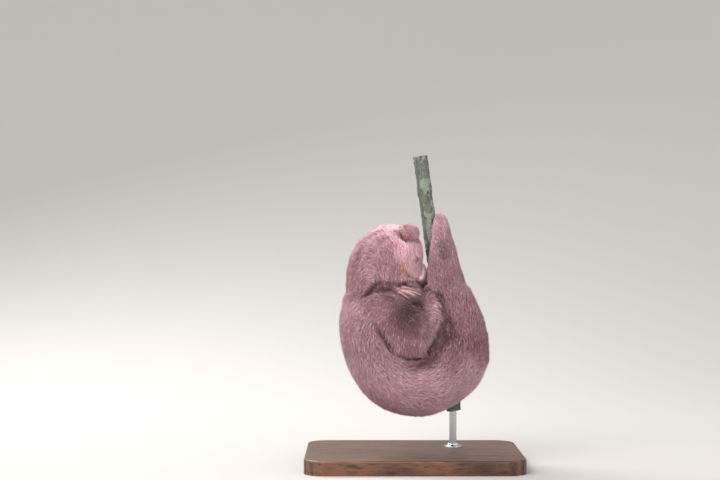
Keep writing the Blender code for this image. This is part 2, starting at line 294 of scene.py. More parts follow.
rod_low, rod_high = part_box("stand_rod")
base_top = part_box("stand_base")[1].z
angle = circle(48)
collar_rings = grid_points(
    (rod_low.x + rod_high.x) / 2 + COLLAR_RADIUS * COLLAR_PROFILE[:, :1] * np.cos(angle),
    (rod_low.y + rod_high.y) / 2 + COLLAR_RADIUS * COLLAR_PROFILE[:, :1] * np.sin(angle),
    base_top + COLLAR_HEIGHT * COLLAR_PROFILE[:, 1:],
)
collar = add_rings(
    "stand_collar", collar_rings[0].mean(axis=0), collar_rings, collar_rings[-1].mean(axis=0), steel
)
collar.data.set_sharp_from_angle(angle=math.radians(40))
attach(collar, "root")


# ---- Perch -------------------------------------------------------------------------------------
# A short length of a young woody stem, cut square at both ends: thin grey-green bark with fine
# lengthwise cracks, corky pores, two old leaf scars and crusts of pale lichen.
STEM_RADIUS = 5.0 * MM
UNDER_TOP = 0.6 * MM
ROW_STEP = 0.45 * MM
CRACK_DEPTH = 0.28 * MM
LICHEN_HEIGHT = 0.22 * MM
PORE_HEIGHT = 0.3 * MM
LUMP_HEIGHT = 0.35 * MM
SCAR_SWELL = 0.5 * MM
SCAR_HALF_LENGTH = 3.6 * MM
# Where the leaf scars are, in shares of the stem's length.
SCARS = (0.04, 0.868)
# The rim of each cut end, rounded over and then run in to the pith: how far from the end, and the
# radius over the bark's own.
RIM = np.array([(0.0, 0.30), (0.0, 0.62), (0.0, 0.90), (0.05, 0.965), (0.3, 1.0)])
RIM_LENGTH = 0.9 * MM


def noise(points, size, seed):
    """Smooth random values from -1 to 1: random numbers at a cubic lattice's corners, size mm apart.

    Between corners they are mixed by w = 3t^2 - 2t^3 along each axis. The number at a corner comes
    from its three whole-number coordinates, multiplied by large primes, summed and scrambled.
    """
    cell = points / (np.asarray(size) * MM)
    low = np.floor(cell).astype(np.int64)
    part = cell - low
    part = part * part * (3 - 2 * part)
    total = np.zeros(len(points))
    for corner in np.ndindex(2, 2, 2):
        key = (low + corner) @ np.array([73856093, 19349663, 83492791]) + seed * 668265263
        key = (key ^ (key >> 13)) * 1274126177
        value = ((key ^ (key >> 16)) & 0xFFFF) / 32767.5 - 1
        total += value * np.prod(np.where(corner, part, 1 - part), axis=1)
    return total


def smoothstep(low, high, values):
    """0 below low, 1 above high, and 3t^2 - 2t^3 between them."""
    t = np.clip((values - low) / (high - low), 0, 1)
    return t * t * (3 - 2 * t)


def bell(values, width, power=2):
    """e to the power of -(value / width) ^ power: 1 at 0, falling to almost 0 at twice the width."""
    return np.exp(-((values / width) ** power))


def store(piece, **layers):
    """Keeps a number for each point of the piece under each of these names, for its material."""
    for name, values in layers.items():
        layer = piece.data.attributes.new(name, "FLOAT", "POINT")
        layer.data.foreach_set("value", np.ascontiguousarray(values, np.float32))


stem_low, stem_high = (np.array(corner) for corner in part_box("perch_stem"))
stem_foot = np.array([stem_high[0] - STEM_RADIUS, (stem_low[1] + stem_high[1]) / 2, stem_low[2]])
stem_top = np.array([stem_low[0] + STEM_RADIUS, stem_foot[1], stem_high[2] - UNDER_TOP])
stem_length = np.linalg.norm(stem_top - stem_foot)
stem_way = (stem_top - stem_foot) / stem_length
stem_side = np.cross((0, 1, 0), stem_way)

angle = circle(84)
climb = np.arange(RIM_LENGTH, stem_length - RIM_LENGTH, ROW_STEP)
rim_rise, rim_share = RIM[:, 0] * MM, RIM[:, 1]
row_rise = np.concatenate([rim_rise, climb, (stem_length - rim_rise)[::-1]])
row_share = np.concatenate([rim_share, np.ones(len(climb)), rim_share[::-1]])

# Bark: noise is read where each point lies on a plain upright cylinder. Stretched along the stem it
# makes the cracks, and stretched across it the pores.
outward = stem_side * np.cos(angle)[:, None] + np.array([0, 1, 0]) * np.sin(angle)[:, None]
upright = grid_points(STEM_RADIUS * np.cos(angle), STEM_RADIUS * np.sin(angle), row_rise[:, None])
upright = upright.reshape(-1, 3)
cracks = smoothstep(0.0, 0.32, np.abs(noise(upright, (1.5, 1.5, 11.0), 1)))
fine_cracks = smoothstep(0.0, 0.3, np.abs(noise(upright, (0.9, 0.9, 5.0), 2)))
cracks = np.minimum(cracks, 0.5 + 0.5 * fine_cracks)
corky = smoothstep(0.62, 0.78, noise(upright, (2.4, 2.4, 1.1), 3))
lichen = smoothstep(0.22, 0.34, noise(upright, 7.5, 4) + 0.45 * noise(upright, 2.2, 5))
lump = LUMP_HEIGHT * noise(upright, (6.0, 6.0, 26.0), 6)
scars = sum(bell(upright[:, 2] - at * stem_length, SCAR_HALF_LENGTH) for at in SCARS)
bark_rise = (
    lump + SCAR_SWELL * scars - CRACK_DEPTH * (1 - cracks) * (1 - lichen) + PORE_HEIGHT * corky
    + LICHEN_HEIGHT * lichen * (0.7 + 0.3 * noise(upright, 0.8, 7))
).reshape(len(row_rise), len(angle))
on_bark = smoothstep(0.9, 1.0, row_share)
bark_radius = STEM_RADIUS * row_share[:, None] + bark_rise * on_bark[:, None]
stem_rings = (
    stem_foot + row_rise[:, None, None] * stem_way + bark_radius[:, :, None] * outward[None]
)

# Living bark of a shaded understorey stem: matt grey-green cork over a green skin that shows in the
# cracks, with powdery pale lichen; the cut ends show cream wood with faint year rings, 0.8 mm apart.
bark, tree = new_material("grey_green_bark")
place = add_node(tree, "TexCoord", {}, {}).outputs["Object"]
crack, crust, from_pith, cut_end = (
    add_node(tree, "Attribute", {"attribute_name": name}, {}).outputs["Fac"]
    for name in ("crack", "lichen", "from_pith", "cut_end")
)
patches = add_node(tree, "TexNoise", {}, {"Vector": place, "Scale": 1 / 0.014, "Detail": 4.0})
specks = add_node(tree, "TexNoise", {}, {
    "Vector": place, "Scale": 1 / 0.0012, "Detail": 3.0,
}).outputs["Fac"]
cork = add_node(
    tree, "ValToRGB", {}, {"Fac": patches.outputs["Fac"]}, ((0.35, "#616b5d"), (0.65, "#74776d"))
)
split = add_node(tree, "Mix", {"data_type": "RGBA"}, {
    0: crack, 6: cork.outputs["Color"], 7: linear("#4e5647"),
})
crusted = add_node(tree, "Mix", {"data_type": "RGBA"}, {
    0: crust, 6: split.outputs[2], 7: linear("#838c7e"),
})
speck_shade = add_node(tree, "ValToRGB", {}, {"Fac": specks}, ((0.3, "#c4c4c4"), (0.6, "#ffffff")))
speckled = add_node(tree, "Mix", {"data_type": "RGBA", "blend_type": "MULTIPLY"}, {
    0: 1.0, 6: crusted.outputs[2], 7: speck_shade.outputs["Color"],
})
year_count = add_node(tree, "Math", {"operation": "MULTIPLY"}, {0: from_pith, 1: 38.0})
years = add_node(tree, "Math", {"operation": "SINE"}, {0: year_count.outputs["Value"]})
heartwood = add_node(tree, "Mix", {"data_type": "RGBA"}, {
    0: years.outputs["Value"], 6: linear("#a8926c"), 7: linear("#8d7650"),
})
whole = add_node(tree, "Mix", {"data_type": "RGBA"}, {
    0: cut_end, 6: speckled.outputs[2], 7: heartwood.outputs[2],
})
bump = add_node(tree, "Bump", {}, {"Height": specks, "Strength": 0.5, "Distance": 0.0003})
close_material(tree, {
    "Base Color": whole.outputs[2], "Roughness": 0.85, "Normal": bump.outputs["Normal"],
})

perch = add_rings("perch", stem_foot, stem_rings, stem_foot + stem_length * stem_way, bark)


def with_ends(values, at_ends):
    """The numbers at the rings' points, between those at the two points that close the ends."""
    return np.concatenate([[at_ends], values, [at_ends]])


store(
    perch,
    cut_end=with_ends(np.repeat(1 - smoothstep(0.93, 0.99, row_share), len(angle)), 1),
    from_pith=with_ends(np.repeat(row_share, len(angle)), 0),
    crack=with_ends((1 - cracks) * (1 - lichen), 0),
    lichen=with_ends(lichen, 0),
)
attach(perch, "root")
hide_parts("perch_stem")


# ---- Skin --------------------------------------------------------------------------------------
# One skin over the whole animal, under the coat: thin, soft and pinkish brown, and bare only at the
# snout's tip and along the lids. It lies in from the flesh's solids, which reach the hair's tips, by
# the coat's depth.
VOXEL = 1.0 * MM
OVERLAP = 0.42 * MM
SMOOTHING_ROUNDS = 36
BALL_MIDDLE = np.array([0.0, 22.0, 101.0]) * MM

# Depth of the coat over each solid, in millimetres.
COAT_DEPTHS = {
    "trunk": 4.8, "neck": 4.6, "head": 3.6, "ear": 1.7, "nose": 0.1, "eye": 0.6,
    "foreleg_r_upper": 4.6, "foreleg_r_lower": 4.2, "foreleg_l": 4.0,
    "hindleg_r_thigh": 4.8, "hindleg_l_thigh": 4.2, "hindleg_r_shank": 3.4, "hindleg_l_shank": 3.0,
    "forefoot": 1.7, "hindfoot": 1.7,
    "tail_base": 3.0, "tail_second": 2.3, "tail_third": 2.0, "tail_fourth": 1.8, "tail_tip": 1.5,
}
FLESH = [n for n in sorted(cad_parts) if n.startswith(tuple(COAT_DEPTHS))]


def by_node(table, name):
    """The table's value for the longest of its keys that the node's name starts with."""
    return table[max((key for key in table if name.startswith(key)), key=len)]


def middle_of(node):
    """The middle of a node's box."""
    return np.mean([np.array(corner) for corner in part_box(node)], axis=0)


def merged_copy(node):
    """A copy of a CAD node's loose triangles, joined where their corners meet."""
    copy = bmesh.new()
    copy.from_mesh(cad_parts[node].data)
    bmesh.ops.remove_doubles(copy, verts=copy.verts, dist=1e-6)
    copy.normal_update()
    return copy


def fused_flesh():
    """The flesh's solids, each swollen so that it laps its neighbours, made into one closed surface."""
    heap = bpy.data.meshes.new("flesh_heap")
    pile = bmesh.new()
    for name in FLESH:
        copy = merged_copy(name)
        for corner in copy.verts:
            corner.co += corner.normal * OVERLAP
        piece = bpy.data.meshes.new("flesh_piece")
        copy.to_mesh(piece)
        copy.free()
        pile.from_mesh(piece)
        bpy.data.meshes.remove(piece)
    pile.to_mesh(heap)
    pile.free()
    holder = bpy.data.objects.new("flesh_heap", heap)
    bpy.context.scene.collection.objects.link(holder)
    remesh = holder.modifiers.new("fuse", "REMESH")
    remesh.mode = "VOXEL"
    remesh.voxel_size = VOXEL
    graph = bpy.context.evaluated_depsgraph_get()
    fused = bpy.data.meshes.new_from_object(holder.evaluated_get(graph))
    bpy.data.objects.remove(holder)
    return fused


def refine(mesh, spots):
    """Splits the mesh's faces in four within each spot's reach: a centre, a reach and how many rounds.

    Each round reaches 0.82 times as far as the one before it.
    """
    fine = bmesh.new()
    fine.from_mesh(mesh)
    for centre, reach, rounds in spots:
        for _ in range(rounds):
            near = [e for e in fine.edges if (e.verts[0].co - Vector(centre)).length < reach]
            bmesh.ops.subdivide_edges(fine, edges=near, cuts=1, use_grid_fill=True)
            reach *= 0.82
    bmesh.ops.triangulate(fine, faces=fine.faces)
    fine.to_mesh(mesh)
    fine.free()


def arrays_of(mesh):
    """The mesh's points, triangles and edges as arrays."""
    points = np.empty(len(mesh.vertices) * 3)
    mesh.vertices.foreach_get("co", points)
    faces = np.empty(len(mesh.polygons) * 3, np.int32)
    mesh.polygons.foreach_get("vertices", faces)
    edges = np.empty(len(mesh.edges) * 2, np.int32)
    mesh.edges.foreach_get("vertices", edges)
    return points.reshape(-1, 3), faces.reshape(-1, 3), edges.reshape(-1, 2)


def spread(values, edges, share, rounds=1):
    """Each round moves every point's value this share of the way to the mean of its neighbours'."""
    one = np.concatenate([edges[:, 0], edges[:, 1]])
    other = np.concatenate([edges[:, 1], edges[:, 0]])
    count = np.maximum(1, np.bincount(one, minlength=len(values)))
    values = values.reshape(len(values), -1)
    for _ in range(rounds):
        mean = np.stack([
            np.bincount(one, values[other, k], len(values)) / count for k in range(values.shape[1])
        ], axis=1)
        values = values + share * (mean - values)
    return values


def unit(vectors):
    """The vectors made one long."""
    return vectors / np.maximum(np.linalg.norm(vectors, axis=1, keepdims=True), 1e-12)


def normals_of(points, faces):
    """At each point, the sum of its triangles' cross products, made one long."""
    a, b, c = (points[faces[:, k]] for k in range(3))
    cross = np.cross(b - a, c - a)
    total = np.stack([
        sum(np.bincount(faces[:, corner], cross[:, axis], len(points)) for corner in range(3))
        for axis in range(3)
    ], axis=1)
    return unit(total)


nose_middle = middle_of("nose")
nose_low, nose_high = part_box("nose")
snout_tip = np.array([nose_middle[0], nose_middle[1], nose_low.z])
eye_middle = {side: middle_of(f"eye_{side}") for side in "rl"}
ear_middle = {side: middle_of(f"ear_{side}") for side in "rl"}

flesh = fused_flesh()
# The triangles are finer round the ears, finer still round the nose, and finest round the eyes.
refine(flesh, [
    *[(ear_middle[side], 9.0 * MM, 1) for side in "rl"],
    (nose_middle, 9.0 * MM, 2),
    *[(eye_middle[side], 5.6 * MM, 3) for side in "rl"],
])
# The coat's top is the surface that the hair's tips reach; the skin is worked out from it.
coat_top, skin_faces, skin_edges = arrays_of(flesh)


def soft_normals(points):
    """The skin's normals with its points here, evened out over four rounds of their neighbours."""
    return unit(spread(normals_of(points, skin_faces), skin_edges, 0.5, 4))


def evened(values, rounds):
    """One number for each of the skin's points, moved half-way to its neighbours' mean each round."""
    return spread(values, skin_edges, 0.5, rounds)[:, 0]


def over_coat(points):
    """How far points stand over the coat's top, along its normals."""
    return np.sum((points - coat_top) * normal, axis=1)


def moved(points, way, distance):
    """The points moved along their way by each one's own distance."""
    return points + way * distance[:, None]


def drawn_to(target, share):
    """The coat's top moved this share of the way to its target."""
    return coat_top + share[:, None] * (target - coat_top)


# Voxel steps and the seams between solids are smoothed away in rounds of in by 0.5 and out by 0.53,
# which keeps the volume.
for _ in range(SMOOTHING_ROUNDS):
    coat_top = spread(coat_top, skin_edges, 0.5)
    coat_top = spread(coat_top, skin_edges, -0.53)
normal = soft_normals(coat_top)
coat_top = coat_top - normal * OVERLAP

# The solid that each point of the skin belongs to.
shell_points, shell_faces, shell_owner = [], [], []
for owner, name in enumerate(FLESH):
    copy = merged_copy(name)
    start = len(shell_points)
    shell_points += [v.co.copy() for v in copy.verts]
    shell_faces += [[start + v.index for v in face.verts] for face in copy.faces]
    shell_owner += [owner] * len(copy.faces)
    copy.free()
shell = BVHTree.FromPolygons(shell_points, shell_faces)
owner_of = np.array(shell_owner)[[shell.find_nearest(Vector(p))[2] for p in coat_top]]


def among(owners, starts):
    """Which of these owners are solids whose names start with one of these."""
    return np.isin(owners, [k for k, n in enumerate(FLESH) if n.startswith(starts)])


def share_of(starts, rounds):
    """1 on the solids whose names start with one of these and 0 elsewhere, spread over the joins."""
    return evened(among(owner_of, starts).astype(float), rounds)


def from_ball(places):
    """Places given in millimetres from the ball's middle."""
    return BALL_MIDDLE + np.array(places) * MM


def from_side(points):
    """X and Z of points in millimetres from the ball's middle, as they lie seen from the side."""
    return (points - BALL_MIDDLE)[:, [0, 2]] / MM


def blob(flat, middle, width, power=2):
    """e to the power of -(distance / width) ^ power from a middle, seen from the side."""
    return bell(np.linalg.norm(flat - middle, axis=1), width, power)


def from_line(points, line):
    """How far points lie, in X and Z, from a line through places in millimetres from the ball's middle.

    It is the least of the distances to the line's straight stretches.
    """
    ends = BALL_MIDDLE[[0, 2]] + np.array(line) * MM
    flat = points[:, [0, 2]]
    nearest = np.full(len(points), np.inf)
    for start, end in zip(ends, ends[1:]):
        run = end - start
        part = np.clip((flat - start) @ run / (run @ run), 0, 1)
        nearest = np.minimum(nearest, np.linalg.norm(flat - start - part[:, None] * run, axis=1))
    return nearest


# The folded arm is drawn in at its lower front, less and less with distance from this place.
DRAWN_IN = from_ball([19.5, 0.0, -13.0])
MOST_DRAWN = 6.2 * MM
drawn = MOST_DRAWN * np.exp(-np.sum(((coat_top - DRAWN_IN) * (1, 0, 1) / (13 * MM)) ** 2, axis=1))
coat_top[:, 0] -= drawn * smoothstep(0, 12 * MM, BALL_MIDDLE[1] - coat_top[:, 1])
# The ears sit a little lower, and closer to the head, than their solids.
EAR_DROP = 0.8 * MM
EAR_SUNK = 1.1 * MM
ear_root = smoothstep(0.05, 0.8, share_of(("ear",), 8))
coat_top[:, 2] -= EAR_DROP * ear_root
coat_top[:, 1] += EAR_SUNK * ear_root * np.sign(nose_middle[1] - coat_top[:, 1])

# Hair of some millimetres closes over the shallow hollows between one muscle and the next: there the
# surface rises to itself smoothed over some 12 mm. It stays folded round the forelegs and the thin
# forms.
BRIDGING_PASSES = 3
BRIDGING_ROUNDS = 110
MOST_BRIDGED = 2.2 * MM
bridged = 1 - smoothstep(0.05, 0.4, share_of(("foreleg", "forefoot", "ear", "nose", "eye", "tail"), 14))
for _ in range(BRIDGING_PASSES):
    hollows = over_coat(spread(coat_top, skin_edges, 0.5, BRIDGING_ROUNDS))
    coat_top = moved(coat_top, normal, np.clip(hollows, 0, MOST_BRIDGED) * bridged)
    normal = soft_normals(coat_top)
# Over the trunk the flats between one station and the next are rounded off: the surface takes on its
# own height smoothed over 12 mm, less the same height smoothed over 20 mm, which is its roundness.
on_trunk = smoothstep(0.3, 0.9, share_of(("trunk",), 30))
uneven = over_coat(spread(coat_top, skin_edges, 0.8, 240))
uneven = uneven - spread(uneven, skin_edges, 0.8, 500)[:, 0]
coat_top = moved(coat_top, normal, np.clip(uneven, -1 * MM, 1 * MM) * on_trunk)
# Round this place, seen from the side, the jaw is filled out where the head's solid meets the throat's.
JAW = (-3.0, 30.0)
at_jaw = blob(from_side(coat_top), JAW, 7)
filled = over_coat(spread(coat_top, skin_edges, 0.8, 90)) + 0.5 * MM
coat_top = moved(coat_top, normal, np.clip(filled, 0, 3 * MM) * at_jaw * bridged)
coat_top = drawn_to(spread(coat_top, skin_edges, 0.8, 12), at_jaw * bridged)
# Smoothing wears thin forms down, which is made good before the rest is eased once more.
THIN_FORMS = (("ear", 0.8 * MM), ("nose", 0.5 * MM), ("hindfoot", 0.35 * MM), ("forefoot", 0.35 * MM))
EASING_ROUNDS = 80
for start, wear in THIN_FORMS:
    coat_top = moved(coat_top, normal, wear * share_of((start,), 5))
for _ in range(EASING_ROUNDS):
    eased = spread(coat_top, skin_edges, 0.8)
    coat_top = drawn_to(spread(eased, skin_edges, -0.82), bridged)
normal = soft_normals(coat_top)

# The chin rests on the folded arm in a sharp crease that runs back under the cheek and softens over
# the shoulder, and each ear has a short fold behind its root.
CHIN_FOLD = (
    (5.5, 25.8), (2.8, 25.3), (-9, 24.4), (-16, 23.8), (-24, 23.8), (-32, 21.6), (-40.6, 20.2), (-46, 17),
)
EAR_FOLD = ((-9.0, 60.5), (-7.8, 57.6), (-6.0, 55.2), (-3.4, 53.6))


def over_crease(flat):
    """How far over the chin's crease, in millimetres, places lie that are seen from the side."""
    return flat[:, 1] - np.interp(flat[:, 0], *np.array(CHIN_FOLD)[::-1].T)


# The cheeks swell out to the plane of the chest, down to the crease.
CHEEK = (1, 28)
CHEEK_SWELL = 2.8 * MM
in_plane = from_side(coat_top)
over_chin = over_crease(in_plane)
cheek = CHEEK_SWELL * blob(in_plane, CHEEK, 7.5) * smoothstep(-1.2, 0.8, over_chin)
aside = coat_top[:, 1] - nose_middle[1]
coat_top[:, 1] += cheek * np.sign(aside) * smoothstep(1.5 * MM, 4 * MM, np.abs(aside))
# Long hair evens the jowl, and hides the ear's root in front and below.
JOWL = (-3.5, 31.5)
JOWL_ROUNDS = 40
ear_rim = share_of(("ear",), 14)
ear_rim = 4 * ear_rim * (1 - ear_rim)
ear_rim = ear_rim * smoothstep(-7, -3, in_plane[:, 0]) * smoothstep(-63, -57, -in_plane[:, 1])
jowl = blob(in_plane, JOWL, 5.5, 4) * smoothstep(0.5, 2.5, over_chin)
long_haired = np.maximum(ear_rim, jowl * (coat_top[:, 1] < nose_middle[1]))
for _ in range(JOWL_ROUNDS):
    coat_top = drawn_to(spread(coat_top, skin_edges, 0.8), 0.8 * long_haired)
normal = soft_normals(coat_top)

# The chin's crease is 1.9 mm deep and 2 mm wide in front, and 1 mm deep and 5 mm wide at the back.
forward = coat_top[:, 0] - BALL_MIDDLE[0]
nearside = smoothstep(13 * MM, 16 * MM, BALL_MIDDLE[1] - coat_top[:, 1])
soft = smoothstep(10 * MM, 36 * MM, -forward)
chin_fold = nearside * bell(from_line(coat_top, CHIN_FOLD), MM * (0.95 + 1.6 * soft))
chin_fold = chin_fold * (1 - smoothstep(40 * MM, 47 * MM, -forward))
to_the_side = smoothstep(6 * MM, 9 * MM, np.abs(coat_top[:, 1] - nose_middle[1]))
ear_fold = to_the_side * bell(from_line(coat_top, EAR_FOLD), 1.2 * MM)
coat_top = moved(coat_top, normal, -(MM * ((1.9 - 0.9 * soft) * chin_fold + 0.9 * ear_fold)))

# Depth of the coat: each solid's own, blended over the joins; it thins towards the snout's tip and
# round the eyes.
depth = np.array([by_node(COAT_DEPTHS, name) for name in FLESH])[owner_of] * MM
depth = evened(depth, 50)
from_snout = np.linalg.norm(coat_top - snout_tip, axis=1)
on_head = share_of(("head", "ear", "eye", "nose"), 12)
thinned = 1 - on_head * (1 - 0.12 - 0.88 * smoothstep(1 * MM, 27 * MM, from_snout))
for side in "rl":
    from_eye = np.linalg.norm(coat_top - eye_middle[side], axis=1)
    thinned = np.minimum(thinned, 0.25 + 0.75 * smoothstep(3 * MM, 11 * MM, from_eye))
depth = evened(depth * thinned, 8)
skin_points = spread(moved(coat_top, normal, -depth), skin_edges, 0.5, 4)

# Each eye is shut: the lids lie over the ball as a dome, and meet in a line that sags towards the
# cheek. In the line the skin sinks to just under the ball's own surface, which shows as a dark slit.
EYE_RADIUS = (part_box("eye_r")[1].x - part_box("eye_r")[0].x) / 2
LID_THICKNESS = 0.5 * MM
LID_RADIUS = EYE_RADIUS + LID_THICKNESS
SLIT_HALF_LENGTH = 2.5 * MM
SLIT_HALF_WIDTH = 0.36 * MM
SLIT_SUNK = LID_THICKNESS + 0.22 * MM
SLIT_DROP = 1.0 * MM
LID_RIM_HEIGHT = 0.12 * MM
LID_RIM_PLACE = 0.62 * MM
# The lids face away from a point inside the head, at this X and this far under the eye.
AXIS_X = -7.5 * MM
AXIS_UNDER_EYE = 3.5 * MM
slit = np.zeros(len(skin_points))
lid = np.zeros(len(skin_points))
for side in "rl":
    # From the ball's middle, s runs towards the snout, t up over the lids and h out of the socket.
    middle = eye_middle[side]
    head_axis = np.array([AXIS_X, nose_middle[1], middle[2] - AXIS_UNDER_EYE])
    out = unit((middle - head_axis)[None])[0]
    fore = snout_tip - middle
    fore = unit((fore - out * (fore @ out))[None])[0]
    above = np.cross(out, fore)
    above = above if above[0] + above[2] > 0 else -above
    s, t, h = ((skin_points - middle) @ np.stack([fore, above, out], axis=1)).T
    # The dome gives way to a straight skirt of slope 4 in 3 at 0.8 of its radius, and the skin takes
    # the higher of itself and the two, max(a, b) rounded to (a + b + sqrt((a - b)^2 + e^2)) / 2.
    from_axis = np.hypot(s, t)
    dome = np.sqrt(np.maximum(LID_RADIUS ** 2 - from_axis ** 2, 0))
    skirt = 0.6 * LID_RADIUS - 1.33 * (from_axis - LID_RADIUS * 0.8)
    skirt = np.where(from_axis < LID_RADIUS * 0.8, dome, skirt)
    near = (h > -2 * MM) & (from_axis < 7 * MM)
    height = np.where(near, 0.5 * (h + skirt + np.sqrt((h - skirt) ** 2 + (0.5 * MM) ** 2)), h)
    sag = -SLIT_DROP + 0.13 / MM * s ** 2
    gap = np.abs(t - sag)
    at_slit = near * bell(gap, SLIT_HALF_WIDTH)
    at_slit = at_slit * smoothstep(-SLIT_HALF_LENGTH, -0.7 * SLIT_HALF_LENGTH, -np.abs(s))
    lid_rims = near * bell(gap - LID_RIM_PLACE, 0.3 * MM) * smoothstep(-3.2 * MM, -2 * MM, -np.abs(s))
    height = height - SLIT_SUNK * at_slit + LID_RIM_HEIGHT * lid_rims
    skin_points = moved(skin_points, out, height - h)
    slit = np.maximum(slit, at_slit)
    bare_lid = np.exp(-((s / (3.4 * MM)) ** 4) - ((t - sag) / (1.5 * MM)) ** 4)
    lid = np.maximum(lid, near * bare_lid)

# The snout ends in a bare moist pad with a swollen wing and a comma-shaped nostril on each side; the
# mouth is a fine line under it that runs back along the cheek.
PAD_LENGTH = 4.9 * MM
WING_SWELL = 2.8 * MM
NOSTRIL_DEPTH = 0.8 * MM
LIP_DEPTH = 0.45 * MM
over_snout = skin_points[:, 2] - snout_tip[2]
wet = on_head * smoothstep(0, 1.3 * MM, skin_points[:, 0] - (snout_tip[0] - PAD_LENGTH + 0.30 * over_snout))
wet = wet * (1 - smoothstep(12 * MM, 15 * MM, over_snout))
wet = np.maximum(wet, share_of(("nose",), 6))
nostril = np.zeros(len(skin_points))
lip = np.zeros(len(skin_points))
for way in (-1, 1):
    ahead_of_wing = (skin_points[:, 0] - nose_high.x + 3.7 * MM) / (3.0 * MM)
    over_wing = (skin_points[:, 2] - snout_tip[2] - 2.8 * MM) / (3.2 * MM)
    on_side = smoothstep(1.5 * MM, 3.0 * MM, way * (skin_points[:, 1] - nose_middle[1]))
    wing = on_side * np.exp(-(ahead_of_wing ** 2 + over_wing ** 2))
    skin_points[:, 1] += way * WING_SWELL * wing
    coat_top[:, 1] += way * WING_SWELL * wing
    pit = np.array([nose_high.x - 2.1 * MM, nose_middle[1] + way * 2.9 * MM, snout_tip[2] + 2.9 * MM])
    away = skin_points - pit
    bent = away[:, 0] + 0.28 / MM * away[:, 2] ** 2
    comma = -((bent / (0.55 * MM)) ** 2) - (away[:, 2] / (1.15 * MM)) ** 2 - (away[:, 1] / (1.6 * MM)) ** 2
    nostril = np.maximum(nostril, np.exp(comma))
    back = snout_tip[0] + 1.0 * MM - skin_points[:, 0]
    line = snout_tip[2] - 0.6 * MM + 0.05 * back
    along = smoothstep(-1 * MM, 1 * MM, back) * (1 - smoothstep(3 * MM, 6 * MM, back))
    lip = np.maximum(lip, on_side * along * on_head * bell(skin_points[:, 2] - line, 0.45 * MM))
skin_normal = normals_of(skin_points, skin_faces)
skin_points = moved(skin_points, skin_normal, -(NOSTRIL_DEPTH * nostril + LIP_DEPTH * lip))
bare_part = np.clip(wet + slit + 0.85 * lid + nostril + lip, 0, 1)

# The hair's tips stay clear of the lids, which stand proud of the socket.
LEAST_RISE = 0.3 * MM
rise = np.sum((coat_top - skin_points) * skin_normal, axis=1)
coat_top = moved(coat_top, skin_normal, np.maximum(0, LEAST_RISE - rise))

# How deep a point lies in a fold: how far it is under the surface smoothed over some 8 mm.
fold = evened(over_coat(spread(coat_top, skin_edges, 0.5, 90)), 3)
# Folds are darkened by this depth as painted shade, less on the head and at the chin.
at_chin = nearside * bell(over_chin, 5) * smoothstep(-16 * MM, -8 * MM, forward)
fold = smoothstep(0.15 * MM, 1.6 * MM, fold) * (1 - 0.6 * on_head) * (1 - 0.6 * at_chin)

# The outer edge of the folded foreleg: longer pale hair hangs over it as a hem, and the cleft beside
# and under it is darkened with painted shadow, with two soft spots of painted shadow beside the thigh:
# place, width and strength.
FOLDED_EDGE = (
    (16.8, 14), (19.2, 5.6), (18.6, -3.5), (16.4, -12), (10.5, -20), (4.4, -25.2), (-2.1, -28.7),
    (-10.5, -25.9), (-17.5, -20.3), (-23, -14),
)
THIGH_SHADOWS = (((24, -12), 7, 1.0), ((25, -30), 14, 0.6))
in_plane = from_side(coat_top)
on_foreleg = share_of(("foreleg_r",), 3)
from_edge = from_line(coat_top, FOLDED_EDGE)
hem = nearside * on_foreleg * bell(from_edge, 8 * MM) * smoothstep(-30 * MM, -8 * MM, forward)
beside_thigh = smoothstep(0, 12 * MM, forward) * (1 - smoothstep(-6, 5, in_plane[:, 1]))
cleft_shadow = bell(from_edge, 4.5 * MM + 6 * MM * beside_thigh, 4) * smoothstep(-14 * MM, 4 * MM, forward)
for spot, width, strength in THIGH_SHADOWS:
    cleft_shadow = np.maximum(cleft_shadow, strength * blob(in_plane, spot, width))
cleft_shadow = cleft_shadow * (1 - on_foreleg) * smoothstep(0, 6 * MM, BALL_MIDDLE[1] - coat_top[:, 1])

# The ear is a small thick leaf with a rolled rim, round a hollow that opens forwards, down and out.
EAR_HOLLOW_DEPTH = 1.1 * MM
hollow = np.zeros(len(skin_points))
for side, way in (("r", -1), ("l", 1)):
    away = skin_points - ear_middle[side] - np.array([2.4, 0, -1.8]) * MM - (0, 0, EAR_DROP)
    along_leaf = (away[:, 0] + away[:, 2]) / math.sqrt(2)
    across_leaf = (away[:, 0] - away[:, 2]) / math.sqrt(2)
    inside = np.exp(-((along_leaf / (4.2 * MM)) ** 2 + (across_leaf / (3.2 * MM)) ** 2) ** 2)
    inside = inside * share_of((f"ear_{side}",), 4) * smoothstep(-0.5 * MM, 0.7 * MM, way * away[:, 1])
    hollow = np.maximum(hollow, inside)
    skin_points[:, 1] -= way * EAR_HOLLOW_DEPTH * inside
    coat_top[:, 1] -= way * EAR_HOLLOW_DEPTH * inside

# Where things lie for the coat's colours and its painted shade: the parting of the foreleg's coat and
# the place under it that is darkened with painted shade, and then places seen from the side.
PARTING = from_ball([-7.0, -50.0, 14.0])
SHADED = from_ball([-5.0, -52.0, 6.0])
BROW = (-1, 46)
HAUNCH = (45, -31)
WRIST = (-3, 18)
EAR_FOOT = (-1, 55)
ANKLE = ((20.5, 50), (21.5, 45))
up_the_body = coat_top[:, 2] - BALL_MIDDLE[2]
on_ear = share_of(("ear",), 4)
on_leg = share_of(("hindleg_r", "hindfoot_r"), 120) * (1 - smoothstep(44 * MM, 76 * MM, up_the_body))
on_leg = on_leg + share_of(("hindleg_l",), 60)
